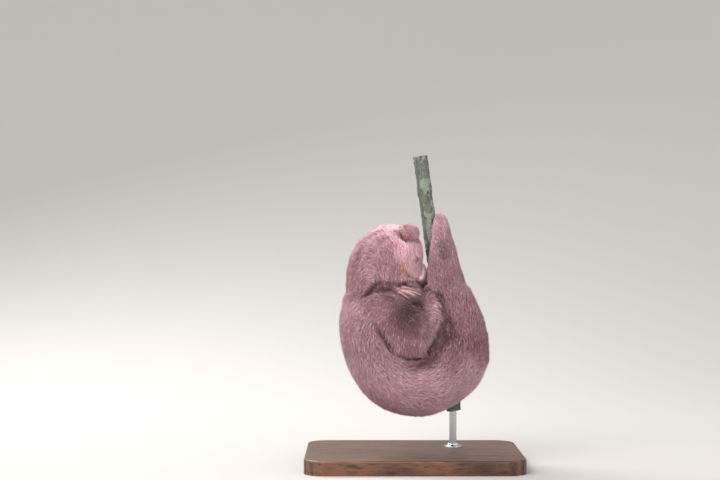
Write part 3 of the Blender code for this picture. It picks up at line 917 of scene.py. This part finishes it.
# The head's colour and its painted sheen fade out over the neck.
broad_head = share_of(("head", "ear", "eye", "nose"), 160)
from_brow = np.linalg.norm(in_plane - BROW, axis=1)
by_brow = broad_head * (1 - smoothstep(2, 17, from_brow))
by_snout = broad_head * (1 - smoothstep(6 * MM, 24 * MM, from_snout))
loins = smoothstep(12 * MM, 40 * MM, coat_top[:, 0]) * smoothstep(-42 * MM, -6 * MM, up_the_body)
loins = loins * share_of(("trunk_rump",), 90)
belly = smoothstep(16 * MM, 42 * MM, -up_the_body) * share_of(("trunk",), 90)

# Pale runs from 0, smoky brown, on the limbs and the loins to 1, silvery, on the brow, the snout and
# the top of the raised foot; the ears are in between. Part of it is painted light and shade: the belly
# is lightened against the shade under the body, the neck is darkened by painted shade, the loins and
# the hind legs are darker partly in their coat's own colour and partly by painted shade, and the brow
# and the snout are lightened partly by painted light.
mottling = 0.16 * noise(coat_top, 9, 21) + 0.16 * noise(coat_top, 3.2, 22)
pale = (
    0.56 + 0.08 * broad_head + 0.36 * by_brow + 0.36 * by_snout - 0.36 * on_ear
    - 0.30 * share_of(("neck",), 50) - 0.55 * on_leg - 0.30 * share_of(("foreleg",), 10)
    - 0.30 * loins + 0.40 * belly + 0.28 * hem + mottling + 0.35 * blob(in_plane, HAUNCH, 9)
)
pale = evened(np.clip(pale, 0, 1), 2)
# Painted sheen lightens the hair's tone over the head, most of all round the brow, but not on the ears.
painted_sheen = (0.07 * broad_head + 0.08 * by_brow) * (1 - on_ear)
# Painted shade darkens the hair in the folds, the creases of the chin and ears, the cleft by the folded
# foreleg, the parting where the coat radiates from it, the wrist, the ankle and the ear's foot; the
# hind legs and the ears are darker too, partly in their coat's own colour and partly by painted shade.
shaded = 1 - smoothstep(1 * MM, 17 * MM, np.linalg.norm((coat_top - SHADED) * (1, 0.45, 0.8), axis=1))
ankle = nearside * (1 - smoothstep(2 * MM, 6 * MM, from_line(coat_top, ANKLE)))
shade_and_dark_coat = (
    fold + 0.85 * shaded + cleft_shadow + 0.45 * chin_fold + 0.8 * ear_fold + 0.34 * on_leg + 0.08 * on_ear
    + 0.4 * nearside * blob(in_plane, WRIST, 9) + 0.5 * ankle
    + 0.55 * to_the_side * blob(in_plane, EAR_FOOT, 3.5)
)
shade_and_dark_coat = np.clip(shade_and_dark_coat, 0, 1)
# Golden tints the hair in small patches and in these wider spots: place, width and strength.
GOLDEN_SPOTS = (
    ((-7, 33), 6, 0.40), ((-15, 51), 5, 0.25), ((22, -33), 9, 0.25), ((5, -52), 10, 0.20),
)
golden = 0.35 * noise(coat_top, 7, 23) + 0.25 * noise(coat_top, 2.5, 24)
for spot, width, strength in GOLDEN_SPOTS:
    golden = golden + strength * blob(in_plane, spot, width)
golden = np.clip(golden, 0, 1) * (0.8 + 0.4 * on_head)
# Flush is how far the skin is bare and pink, most of all low on the nose pad, where the paler pink is
# partly the pad's own and partly a painted highlight.
pad_tip_pink_and_highlight = 1 - smoothstep(2.5 * MM, 6.5 * MM, skin_points[:, 2] - snout_tip[2])
round_pad = on_head * (1 - smoothstep(3 * MM, 9 * MM, from_snout))
flush = np.maximum(wet * (0.35 + 0.65 * pad_tip_pink_and_highlight), 0.6 * round_pad)
flush = np.clip(np.maximum(flush, 0.05 * on_ear) + 0.35 * hollow, 0, 1)

# Skin over fine felted underfur: matt, warm brown where the coat covers it, pink where it is bare,
# with pores drawn 0.5 mm apart, and darkened with painted shade in its slits, nostrils and creases.
hide, tree = new_material("skin_and_underfur")
place = add_node(tree, "TexCoord", {}, {}).outputs["Object"]
dark_or_pale, bare, crease, moist = (
    add_node(tree, "Attribute", {"attribute_name": name}, {}).outputs["Fac"]
    for name in ("pale", "flush", "crease", "wet")
)
pore = add_node(tree, "TexNoise", {}, {"Vector": place, "Scale": 1 / 0.0005, "Detail": 2.0})
mottle = add_node(tree, "TexNoise", {}, {"Vector": place, "Scale": 1 / 0.004, "Detail": 3.0})
under = add_node(tree, "Mix", {"data_type": "RGBA"}, {
    0: dark_or_pale, 6: linear("#7c545e"), 7: linear("#b48894"),
})
pink = add_node(tree, "Mix", {"data_type": "RGBA"}, {
    0: mottle.outputs["Fac"], 6: linear("#dcaab3"), 7: linear("#fde9eb"),
})
skin_tone = add_node(tree, "Mix", {"data_type": "RGBA"}, {
    0: bare, 6: under.outputs[2], 7: pink.outputs[2],
})
# Painted shade: the crease layer darkens the skin towards a deep brown.
crease_shaded = add_node(tree, "Mix", {"data_type": "RGBA"}, {
    0: crease, 6: skin_tone.outputs[2], 7: linear("#3d2223"),
})
gloss = add_node(tree, "MapRange", {}, {"Value": moist, "To Min": 0.65, "To Max": 0.2})
bump = add_node(tree, "Bump", {}, {
    "Height": pore.outputs["Fac"], "Strength": 0.35, "Distance": 0.0002,
})
close_material(tree, {
    "Base Color": crease_shaded.outputs[2], "Roughness": gloss.outputs["Result"], "Normal": bump.outputs["Normal"],
    "Coat Weight": moist, "Coat Roughness": 0.08,
})

skin_faces = facing_out(skin_points, skin_faces)
skin = add_piece("skin", skin_points, skin_faces, hide)
# Painted shade in the eye slits, nostrils, mouth line, ear hollows and the coat's shaded places.
crease_shading = np.clip(slit + nostril + 0.8 * lip + 0.45 * hollow + 0.6 * shade_and_dark_coat, 0, 1)
store(skin, pale=pale, flush=flush, wet=wet, crease=crease_shading)
# Its surface is laid out flat in the map OFBake, cut where it turns by more than 66 degrees.
skin.data.uv_layers.new(name="OFBake")
bpy.context.view_layer.objects.active = skin
for other in bpy.context.selected_objects:
    other.select_set(False)
skin.select_set(True)
bpy.ops.object.mode_set(mode="EDIT")
bpy.ops.mesh.select_all(action="SELECT")
bpy.ops.uv.smart_project(angle_limit=math.radians(66), island_margin=0.0015)
bpy.ops.object.mode_set(mode="OBJECT")
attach(skin, "root")
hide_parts(*[name for name in FLESH if not name.startswith("eye")])


# ---- Coat --------------------------------------------------------------------------------------
# Dense silky fur, half a centimetre deep at most: a warm brown at the root and silvery at the tip.
# Each tuft is a closed spindle of six triangles, a lock of some dozens of hairs.

# How thickly the tufts stand on each solid, for each square millimetre.
TUFT_DENSITY = {
    "trunk": 3.9, "neck": 4.2, "head": 8.2, "ear": 15.0, "eye": 12.0, "nose": 1.0, "foreleg": 4.6,
    "hindleg": 4.6, "forefoot": 9.0, "hindfoot": 9.0, "tail": 6.5,
}
# The tail's middle line, from its root: X, Y and Z from the ball's middle, in millimetres.
TAIL_LINE = (
    (35, -25, -4), (31, -17, 3), (22, -11.8, 5.5), (12, -7.5, 2), (10.5, 3, -5), (17, 10.3, -13),
    (27.5, 10, -21), (35, 4.5, -31), (35.5, 3.5, -42), (27, 9.6, -50), (15, 9.6, -52), (2, 10.5, -47),
    (-8, 14.2, -38), (-13.5, 16.5, -27),
)
CURL_AXIS = from_ball([2.0, 0.0, -12.0])
# Middle of the long ovals, 2 wide to 4 high, along which the coat turns over the head and neck.
NAPE_TURN = from_ball([-28.0, 0.0, 24.0])
# On the far side it lies this much further on, in the crease over the arm.
FAR_TURN = np.array([9.0, 0.0, -7.0]) * MM
# The near foreleg's coat also runs this way, down and a little forward.
DOWN_THE_ARM = np.array([0.37, 0, -1.03])
# The coat of these solids lies from the middle of one solid towards the middle of another.
LIES_ALONG = {
    "foreleg_l_upper": ("foreleg_l_upper", "foreleg_l_lower"),
    "foreleg_l_lower": ("foreleg_l_lower", "forefoot_l"),
    "forefoot_l": ("foreleg_l_lower", "forefoot_l"),
    "forefoot_r": ("foreleg_r_lower", "forefoot_r"),
}
for side in "rl":
    LIES_ALONG[f"hindleg_{side}_thigh"] = (f"hindleg_{side}_thigh", f"hindleg_{side}_shank")
    LIES_ALONG[f"hindleg_{side}_shank"] = (f"hindleg_{side}_shank", f"hindfoot_{side}")
    LIES_ALONG[f"hindfoot_{side}"] = (f"hindleg_{side}_shank", f"hindfoot_{side}")


def lie_of_coat(name, points):
    """Which way the coat lies at points on one solid, before it is laid along the skin.

    On the head and neck it runs up the face, back over the nape and down to the shoulder along
    ovals, which is (-z / 16, x / 4) seen from their middle; on the trunk round the curl's axis,
    along (-z, x) seen from it; on the near foreleg out from a parting and down; on the tail along
    the nearest stretch of its middle line; and on the other limbs straight along the limb.
    """
    if name.startswith(("head", "ear", "eye", "nose", "neck")):
        far = smoothstep(0, 8 * MM, points[:, 1] - nose_middle[1])
        away = points - NAPE_TURN - far[:, None] * FAR_TURN
        return np.stack([-away[:, 2] / 16, 0 * away[:, 0], away[:, 0] / 4], axis=1)
    if name.startswith("trunk"):
        away = points - CURL_AXIS
        return np.stack([-away[:, 2], 0 * away[:, 0], away[:, 0]], axis=1)
    if name.startswith("tail"):
        line = from_ball(TAIL_LINE)
        gaps = np.linalg.norm(points[:, None] - (line[1:] + line[:-1]) / 2, axis=2)
        return (line[1:] - line[:-1])[gaps.argmin(axis=1)]
    if name in LIES_ALONG:
        start, end = (middle_of(node) for node in LIES_ALONG[name])
        return np.broadcast_to(end - start, points.shape)
    return unit((points - PARTING) * (1, 0, 1)) + DOWN_THE_ARM


lie = np.zeros_like(coat_top)
for owner, name in enumerate(FLESH):
    mine = owner_of == owner
    lie[mine] = unit(lie_of_coat(name, coat_top[mine]))
# Over the chin's crease all hair is the face's, and just under it the wrist's, combed forwards.
COMBED_FORWARDS = np.array([[1.0, 0.0, -0.45]])
above_chin = over_crease(in_plane)
by_chin = (nearside > 0.3) & (in_plane[:, 0] > -42) & (in_plane[:, 0] < 9)
face = by_chin & (above_chin > 0) & (above_chin < 10) & (in_plane[:, 0] > -30)
lie[face] = unit(lie_of_coat("head", coat_top[face]))
wrist = by_chin & (above_chin < 0) & (above_chin > -9) & (in_plane[:, 0] > -14)
lie[wrist] = unit(COMBED_FORWARDS)
# It turns gently from one solid to the next, but the near foreleg's coat slides past the body's, and
# the face's past the wrist's.
on_arm = among(owner_of, ("foreleg_r", "forefoot_r"))
across_arm = on_arm[skin_edges[:, 0]] != on_arm[skin_edges[:, 1]]
across_chin = by_chin[skin_edges].all(axis=1) & ((above_chin[skin_edges] > 0).sum(axis=1) == 1)
same_coat = skin_edges[~across_arm & ~across_chin]
for _ in range(6):
    lie = spread(lie, same_coat, 0.5, 12)
    lie = unit(lie - normal * np.sum(lie * normal, axis=1, keepdims=True))

# How sharply the body bends under the coat where it lies: over each edge the normal turns by dn
# along e, and the bend is the mean of dn.e / e.e, weighted by how well e follows the lie.
MOST_HOLLOW = -1 / (30 * MM)
MOST_ROUND = 1 / (11 * MM)
step = coat_top[skin_edges[:, 1]] - coat_top[skin_edges[:, 0]]
turned = normal[skin_edges[:, 1]] - normal[skin_edges[:, 0]]
rate = np.sum(turned * step, axis=1) / np.maximum(np.sum(step * step, axis=1), 1e-12)
bend = np.zeros(len(coat_top))
weight = np.full(len(coat_top), 1e-9)
for end in (0, 1):
    here = skin_edges[:, end]
    follows = np.sum(unit(step) * lie[here], axis=1) ** 2
    bend += np.bincount(here, follows * rate, len(coat_top))
    weight += np.bincount(here, follows, len(coat_top))
bend = np.clip(evened(bend / weight, 10), MOST_HOLLOW, MOST_ROUND)

# The tufts' roots are spread evenly over the skin's triangles by area and density, in the triangles'
# own order, and a root's place in its triangle is drawn from a seeded generator. None stand where
# the skin is bare.
random = np.random.default_rng(11)
corner = coat_top[skin_faces]
area = np.linalg.norm(np.cross(corner[:, 1] - corner[:, 0], corner[:, 2] - corner[:, 0]), axis=1) / 2
density = np.array([by_node(TUFT_DENSITY, name) for name in FLESH])[owner_of[skin_faces[:, 0]]] / MM ** 2
reach = np.cumsum(area * density)
tufts = int(reach[-1])
home = np.searchsorted(reach, (np.arange(tufts) + random.random(tufts)) * reach[-1] / tufts)
home = np.minimum(home, len(skin_faces) - 1)
first, second = random.random((2, tufts))
folded = first + second > 1
first, second = np.where(folded, 1 - first, first), np.where(folded, 1 - second, second)
share = np.stack([1 - first - second, first, second], axis=1)
kept = random.random(tufts) > np.sum(share * bare_part[skin_faces[home]], axis=1)
home, share, tufts = home[kept], share[kept], int(kept.sum())


def at_root(values):
    """Values of the skin's points, mixed at each tuft's root by its shares of the three corners."""
    return np.einsum("tk,tk...->t...", share, values[skin_faces[home]])


root, top = at_root(skin_points), at_root(coat_top)
up = unit(at_root(normal))
way = at_root(lie)
way = unit(way - up * np.sum(way * up, axis=1, keepdims=True))
side = np.cross(way, up)
hair_depth, hair_bend, hair_pale, hair_hem = (at_root(part) for part in (depth, bend, pale, hem))
# A guard hair is longer and paler than the rest, and a stray one stands up out of the coat.
GUARD_SHARE = 0.03
GUARD_SHARE_AT_HEM = 0.30
STRAY_SHARE = 0.04
guard = random.random(tufts) < GUARD_SHARE + GUARD_SHARE_AT_HEM * hair_hem

# Locks lean towards each other at their tips: a smooth random field is read a little to either side,
# and the lie turns by its slope. Its size and the step are in millimetres.
CLUMP_SIZE = 1.2
CLUMP_STEP = 0.6
TUFT_TURN = 0.13
to_left = noise(top + side * CLUMP_STEP * MM, CLUMP_SIZE, 31)
to_right = noise(top - side * CLUMP_STEP * MM, CLUMP_SIZE, 31)
sway = 0.18 * noise(top, 9, 32) + TUFT_TURN * random.standard_normal(tufts) + 0.06 * (to_left - to_right)
way = unit(way * np.cos(sway)[:, None] + side * np.sin(sway)[:, None])
side = np.cross(way, up)

# Tufts are about as long as the coat is deep, and up to 2.5 mm longer at the hem. Each one's length
# and width varies by a fifth.
length = 0.8 * hair_depth + 0.9 * MM + 1.0 * MM * hair_hem + 1.5 * MM * guard * hair_hem
length = length * (0.8 + 0.4 * random.random(tufts))
half_width = (0.085 * MM + 0.013 * hair_depth) * (0.8 + 0.4 * random.random(tufts))
clump = noise(top, CLUMP_SIZE, 31)
stray = random.random(tufts) < STRAY_SHARE
tip_height = hair_depth * (0.015 * clump + 0.035 * random.standard_normal(tufts) - 0.03)
tip_height = tip_height + MM * (0.3 * hair_hem * random.random(tufts) + guard * (0.12 + 0.25 * hair_hem))
tip_height = np.where(stray, 0.12 * hair_depth + 0.25 * MM, tip_height)
middle_height = tip_height - hair_depth * (0.20 + 0.10 * random.random(tufts)) - 0.08 * MM


def laid(distance, height):
    """Points this far along each tuft's way and this high over the coat's top, bent with the body.

    At a distance d the body has turned away from a straight line by bend x d^2 / 2.
    """
    drop = hair_bend * distance ** 2 / 2
    return top + way * distance[:, None] + up * (height - drop)[:, None]


# A tuft's five points: its root, sunk these millimetres in the skin, a flattened ring of three, and
# its tip.
ROOT_SUNK = 0.3
tip = laid(length, tip_height)
middle = laid(0.46 * length, middle_height)
ring_turn = random.random(tufts) * 2 * np.pi
ring = [
    middle + side * (half_width * np.cos(ring_turn + t))[:, None]
    + up * (0.7 * half_width * np.sin(ring_turn + t))[:, None]
    for t in circle(3)
]
tuft_points = np.stack([root - up * ROOT_SUNK * MM, *ring, tip], axis=1)
per_tuft = tuft_points.shape[1]
TUFT_FACES = np.array([(0, 2, 1), (0, 3, 2), (0, 1, 3), (4, 1, 2), (4, 2, 3), (4, 3, 1)])

# Each tuft's patch of the skin's own map lies round its root's place in it, clear of the map's edge.
PATCH_HALF = 0.0015
MAP_EDGE = 0.002
PATCH = np.array([(0, -1), (-1, 0), (0, 0.3), (1, 0), (0, 1)]) * PATCH_HALF
flat_map = np.empty(len(skin.data.loops) * 2)
skin.data.uv_layers["OFBake"].data.foreach_get("uv", flat_map)
corner_map = flat_map.reshape(-1, 3, 2)
root_map = np.einsum("tk,tkc->tc", share, corner_map[home])
tuft_map = np.clip(root_map, MAP_EDGE, 1 - MAP_EDGE)[:, None] + PATCH


def copies_of(faces, copies, points_each):
    """The faces of this many copies of a shape, one after another, each with its own points."""
    return (np.arange(copies)[:, None, None] * points_each + faces).reshape(-1, 3)


def map_piece(piece, point_map, faces):
    """Gives a piece the map OFBake from its points' places in it."""
    layer = piece.data.uv_layers.new(name="OFBake")
    layer.data.foreach_set("uv", point_map.reshape(-1, 2)[faces.ravel()].astype(np.float32).ravel())


# Fur: each lock is a warm brown near the skin and fades to a silvery tip, so a parting or a fold
# shows dark and the rim of the body shines; a soft sheen comes off the thousands of tips.
fur, tree = new_material("silky_fur")
along, tone, light, rosy, buff = (
    add_node(tree, "Attribute", {"attribute_name": name}, {}).outputs["Fac"]
    for name in ("along", "tone", "pale", "flush", "golden")
)
brown = add_node(
    tree, "ValToRGB", {}, {"Fac": along}, ((0, "#7c545e"), (1, "#bc8f99"), (0.5, "#a0747f"))
)
silver = add_node(
    tree, "ValToRGB", {}, {"Fac": along}, ((0, "#b88e98"), (1, "#f1ced4"), (0.5, "#dbafb7"))
)
marked = add_node(tree, "Mix", {"data_type": "RGBA"}, {
    0: light, 6: brown.outputs["Color"], 7: silver.outputs["Color"],
})
flushed = add_node(tree, "Mix", {"data_type": "RGBA", "blend_type": "MULTIPLY"}, {
    0: rosy, 6: marked.outputs[2], 7: linear("#dda8ac"),
})
gilded = add_node(tree, "Mix", {"data_type": "RGBA", "blend_type": "MULTIPLY"}, {
    0: buff, 6: flushed.outputs[2], 7: linear("#f6dfb4"),
})
# Low tone, where painted shade lies, makes the hair darker and redder, and high tone, where the
# painted sheen lies, lighter: the colour is multiplied by this.
shade = add_node(tree, "Mix", {"data_type": "RGBA"}, {
    0: tone, 6: (0.18, 0.095, 0.11, 1), 7: (1.65, 1.65, 1.65, 1),
})
toned = add_node(tree, "VectorMath", {"operation": "MULTIPLY"}, {0: gilded.outputs[2], 1: shade.outputs[2]})
close_material(tree, {
    "Base Color": toned.outputs["Vector"], "Roughness": 0.55, "Specular IOR Level": 0.35,
    "Sheen Weight": 0.35, "Sheen Roughness": 0.4, "Sheen Tint": linear("#f1e4e0"),
})

COAT_PIECES = {
    "coat_head": ("head", "ear", "eye", "nose"), "coat_neck": ("neck",), "coat_chest": ("trunk_chest",),
    "coat_belly": ("trunk_belly",), "coat_rump": ("trunk_rump",),
    "coat_foreleg_r": ("foreleg_r", "forefoot_r"), "coat_foreleg_l": ("foreleg_l", "forefoot_l"),
    "coat_hindleg_r": ("hindleg_r",), "coat_hindfoot_r": ("hindfoot_r",),
    "coat_hindleg_l": ("hindleg_l", "hindfoot_l"), "coat_tail": ("tail",),
}
tuft_owner = owner_of[skin_faces[home, 0]]
# Tone differs at random from tuft to tuft and is higher on guard hairs and the hem; the head's painted
# sheen raises it and painted shade lowers it.
tuft_tone = 0.54 + 0.17 * random.standard_normal(tufts) + 0.04 * clump + 0.09 * hair_hem + at_root(painted_sheen)
tuft_tone = np.clip((tuft_tone + 0.3 * guard) * (1 - 0.95 * at_root(shade_and_dark_coat) * (1 - 0.6 * guard)), 0, 1)
tuft_layers = {
    "tone": tuft_tone, "pale": np.clip(hair_pale + 0.6 * guard, 0, 1), "flush": at_root(flush),
    "golden": np.clip(at_root(golden), 0, 1),
}
for name, nodes in COAT_PIECES.items():
    mine = np.flatnonzero(among(tuft_owner, nodes))
    faces = copies_of(TUFT_FACES, len(mine), per_tuft)
    coat = add_piece(name, tuft_points[mine].reshape(-1, 3), faces, fur)
    store(coat, along=np.tile([0, 0.5, 0.5, 0.5, 1], len(mine)))
    store(coat, **{layer: np.repeat(values[mine], per_tuft) for layer, values in tuft_layers.items()})
    map_piece(coat, tuft_map[mine], faces)
    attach(coat, "root")


# ---- Chin fringe -------------------------------------------------------------------------------
# Long pale hairs of the chin and wrist, combed out over the folded arm in a fan of five locks. Each
# is a closed spindle round a curve that lies just over the coat.
HAIRS_PER_LOCK = 13
FRINGE_RADIUS = 0.085 * MM
FRINGE_STATIONS = 7
FRONT_OF_ALL = -0.2
# A lock's start, its end and how far it bows between them, in millimetres from the ball's middle.
FRINGE_LOCKS = (
    ((-9.0, 23.4), (3.2, 21.0), 0.5), ((-11.0, 22.0), (4.6, 15.0), 1.5), ((-10.0, 21.4), (1.2, 15.8), 0.9),
    ((-8.0, 21.4), (6.2, 17.3), 1.1), ((-12.0, 20.8), (-2.2, 14.3), 0.7),
)

random = np.random.default_rng(12)
starts, ends, bows = (
    np.repeat(np.array(part, float), HAIRS_PER_LOCK, axis=0) for part in zip(*FRINGE_LOCKS)
)
hairs = len(starts)
starts = starts + random.normal(0, 0.55, starts.shape)
ends = ends + random.normal(0, 0.28, ends.shape) - (ends - starts) * 0.25 * random.random((hairs, 1)) ** 2
run = ends - starts
beside = np.stack([-run[:, 1], run[:, 0]], axis=1) / np.linalg.norm(run, axis=1, keepdims=True)
t = np.linspace(0, 1, FRINGE_STATIONS)
flat = starts[:, None] + run[:, None] * t[:, None]
flat = flat + beside[:, None] * (bows[:, None] * np.sin(np.pi * t))[:, :, None]
flat = BALL_MIDDLE[[0, 2]] + flat * MM
# Each station hangs before the coat at its place: it starts in it and stands clear by its end.
surface = BVHTree.FromPolygons([tuple(p) for p in coat_top], [tuple(f) for f in skin_faces.tolist()])
front = [
    surface.ray_cast(Vector((x, FRONT_OF_ALL, z)), Vector((0, 1, 0)))[0].y for x, z in flat.reshape(-1, 2)
]
clear = MM * (-0.3 + 1.0 * np.sin(0.5 * np.pi * np.minimum(1, 1.6 * t)))
clear = clear + 0.25 * MM * random.random((hairs, 1))
middle_line = grid_points(flat[:, :, 0], np.array(front).reshape(hairs, -1) - clear, flat[:, :, 1])
# A ring of three points round each inner station: side x cos + up x sin, times the radius.
heading = unit(np.gradient(middle_line, axis=1).reshape(-1, 3)).reshape(middle_line.shape)
across = unit(np.cross(heading, (0, -1, 0)).reshape(-1, 3)).reshape(middle_line.shape)
over = np.cross(across, heading)
radius = (FRINGE_RADIUS * (1 - 0.75 * t))[None, 1:-1, None, None]
angle = circle(3)
rings = middle_line[:, 1:-1, None] + radius * (
    across[:, 1:-1, None] * np.cos(angle)[:, None] + over[:, 1:-1, None] * np.sin(angle)[:, None]
)
hair_points = np.concatenate([middle_line[:, :1], rings.reshape(hairs, -1, 3), middle_line[:, -1:]], axis=1)
per_hair = hair_points.shape[1]
fringe_points = hair_points.reshape(-1, 3)
fringe_faces = copies_of(ring_faces(FRINGE_STATIONS - 2, 3), hairs, per_hair)
fringe_faces = facing_out(fringe_points, fringe_faces)
fringe = add_piece("chin_fringe", fringe_points, fringe_faces, fur)
stations = np.concatenate([[0], np.repeat(t[1:-1], 3), [1]])
store(
    fringe,
    along=np.tile(0.55 + 0.45 * stations, hairs),
    tone=np.repeat(0.72 + 0.14 * random.standard_normal(hairs), per_hair),
    pale=np.full(hairs * per_hair, 0.95),
    flush=np.zeros(hairs * per_hair),
    golden=np.full(hairs * per_hair, 0.25),
)
# Each hair's patch of the skin's map is a small circle round its root's place.
hair_home = [surface.find_nearest(Vector(p))[2] for p in middle_line[:, 0]]
hair_root = corner_map[hair_home].mean(axis=1)
patch_turn = 2 * np.pi * stations
patch = np.stack([np.cos(patch_turn), np.sin(patch_turn)], axis=1) * PATCH_HALF
map_piece(fringe, np.clip(hair_root, MAP_EDGE, 1 - MAP_EDGE)[:, None] + patch, fringe_faces)
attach(fringe, "root")


# ---- Eyes --------------------------------------------------------------------------------------
# The eyeballs lie under the shut lids and show only in the slit: glassy, wet, and brown almost to
# black.
eyeball, tree = new_material("wet_dark_eye")
place = add_node(tree, "TexCoord", {}, {}).outputs["Object"]
veins = add_node(tree, "TexNoise", {}, {"Vector": place, "Scale": 1 / 0.0006})
iris = add_node(tree, "Mix", {"data_type": "RGBA"}, {
    0: veins.outputs["Fac"], 6: linear("#0d0807"), 7: linear("#241412"),
})
close_material(tree, {"Base Color": iris.outputs[2], "Roughness": 0.08, "Coat Weight": 0.5})

# Latitude rings from near pole to near pole: radius x sin(t) round the axis at height radius x cos(t).
latitude = np.radians(np.linspace(6, 174, 29))[:, None]
angle = circle(48)
ring_radius = EYE_RADIUS * np.sin(latitude)
ball = grid_points(ring_radius * np.cos(angle), ring_radius * np.sin(angle), EYE_RADIUS * np.cos(latitude))
pole = np.array([0, 0, EYE_RADIUS])
for side in "rl":
    middle = eye_middle[side]
    eye = add_rings(f"eyeball_{side}", middle + pole, middle + ball, middle - pole, eyeball)
    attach(eye, "root")
    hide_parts(f"eye_{side}")


# ---- Claws -------------------------------------------------------------------------------------
# Two hooked claws on each forefoot and four on each hind foot: smooth brown horn, softly clouded with
# a paler tan. Each solid's edges are split once, and one level of subdivision rounds them.
horn, tree = new_material("polished_horn")
place = add_node(tree, "TexCoord", {}, {}).outputs["Object"]
clouds = add_node(tree, "TexNoise", {}, {
    "Vector": place, "Scale": 1 / 0.0014, "Detail": 3.0,
}).outputs["Fac"]
horn_tone = add_node(tree, "Mix", {"data_type": "RGBA"}, {
    0: clouds, 6: linear("#6e4c39"), 7: linear("#c09a78"),
})
bump = add_node(tree, "Bump", {}, {"Height": clouds, "Strength": 0.2, "Distance": 0.0001})
close_material(tree, {
    "Base Color": horn_tone.outputs[2], "Roughness": 0.3, "Coat Weight": 0.2,
    "Normal": bump.outputs["Normal"],
})

for node in [n for n in sorted(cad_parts) if n.startswith("claw")]:
    copy = merged_copy(node)
    bmesh.ops.subdivide_edges(copy, edges=copy.edges, cuts=1, use_grid_fill=True)
    mesh = bpy.data.meshes.new("horn_" + node)
    copy.to_mesh(mesh)
    copy.free()
    mesh.shade_smooth()
    mesh.materials.append(horn)
    claw = bpy.data.objects.new("horn_" + node, mesh)
    bpy.context.scene.collection.objects.link(claw)
    rounding = claw.modifiers.new("rounding", "SUBSURF")
    rounding.levels = 1
    rounding.render_levels = 1
    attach(claw, "root")
    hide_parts(node)
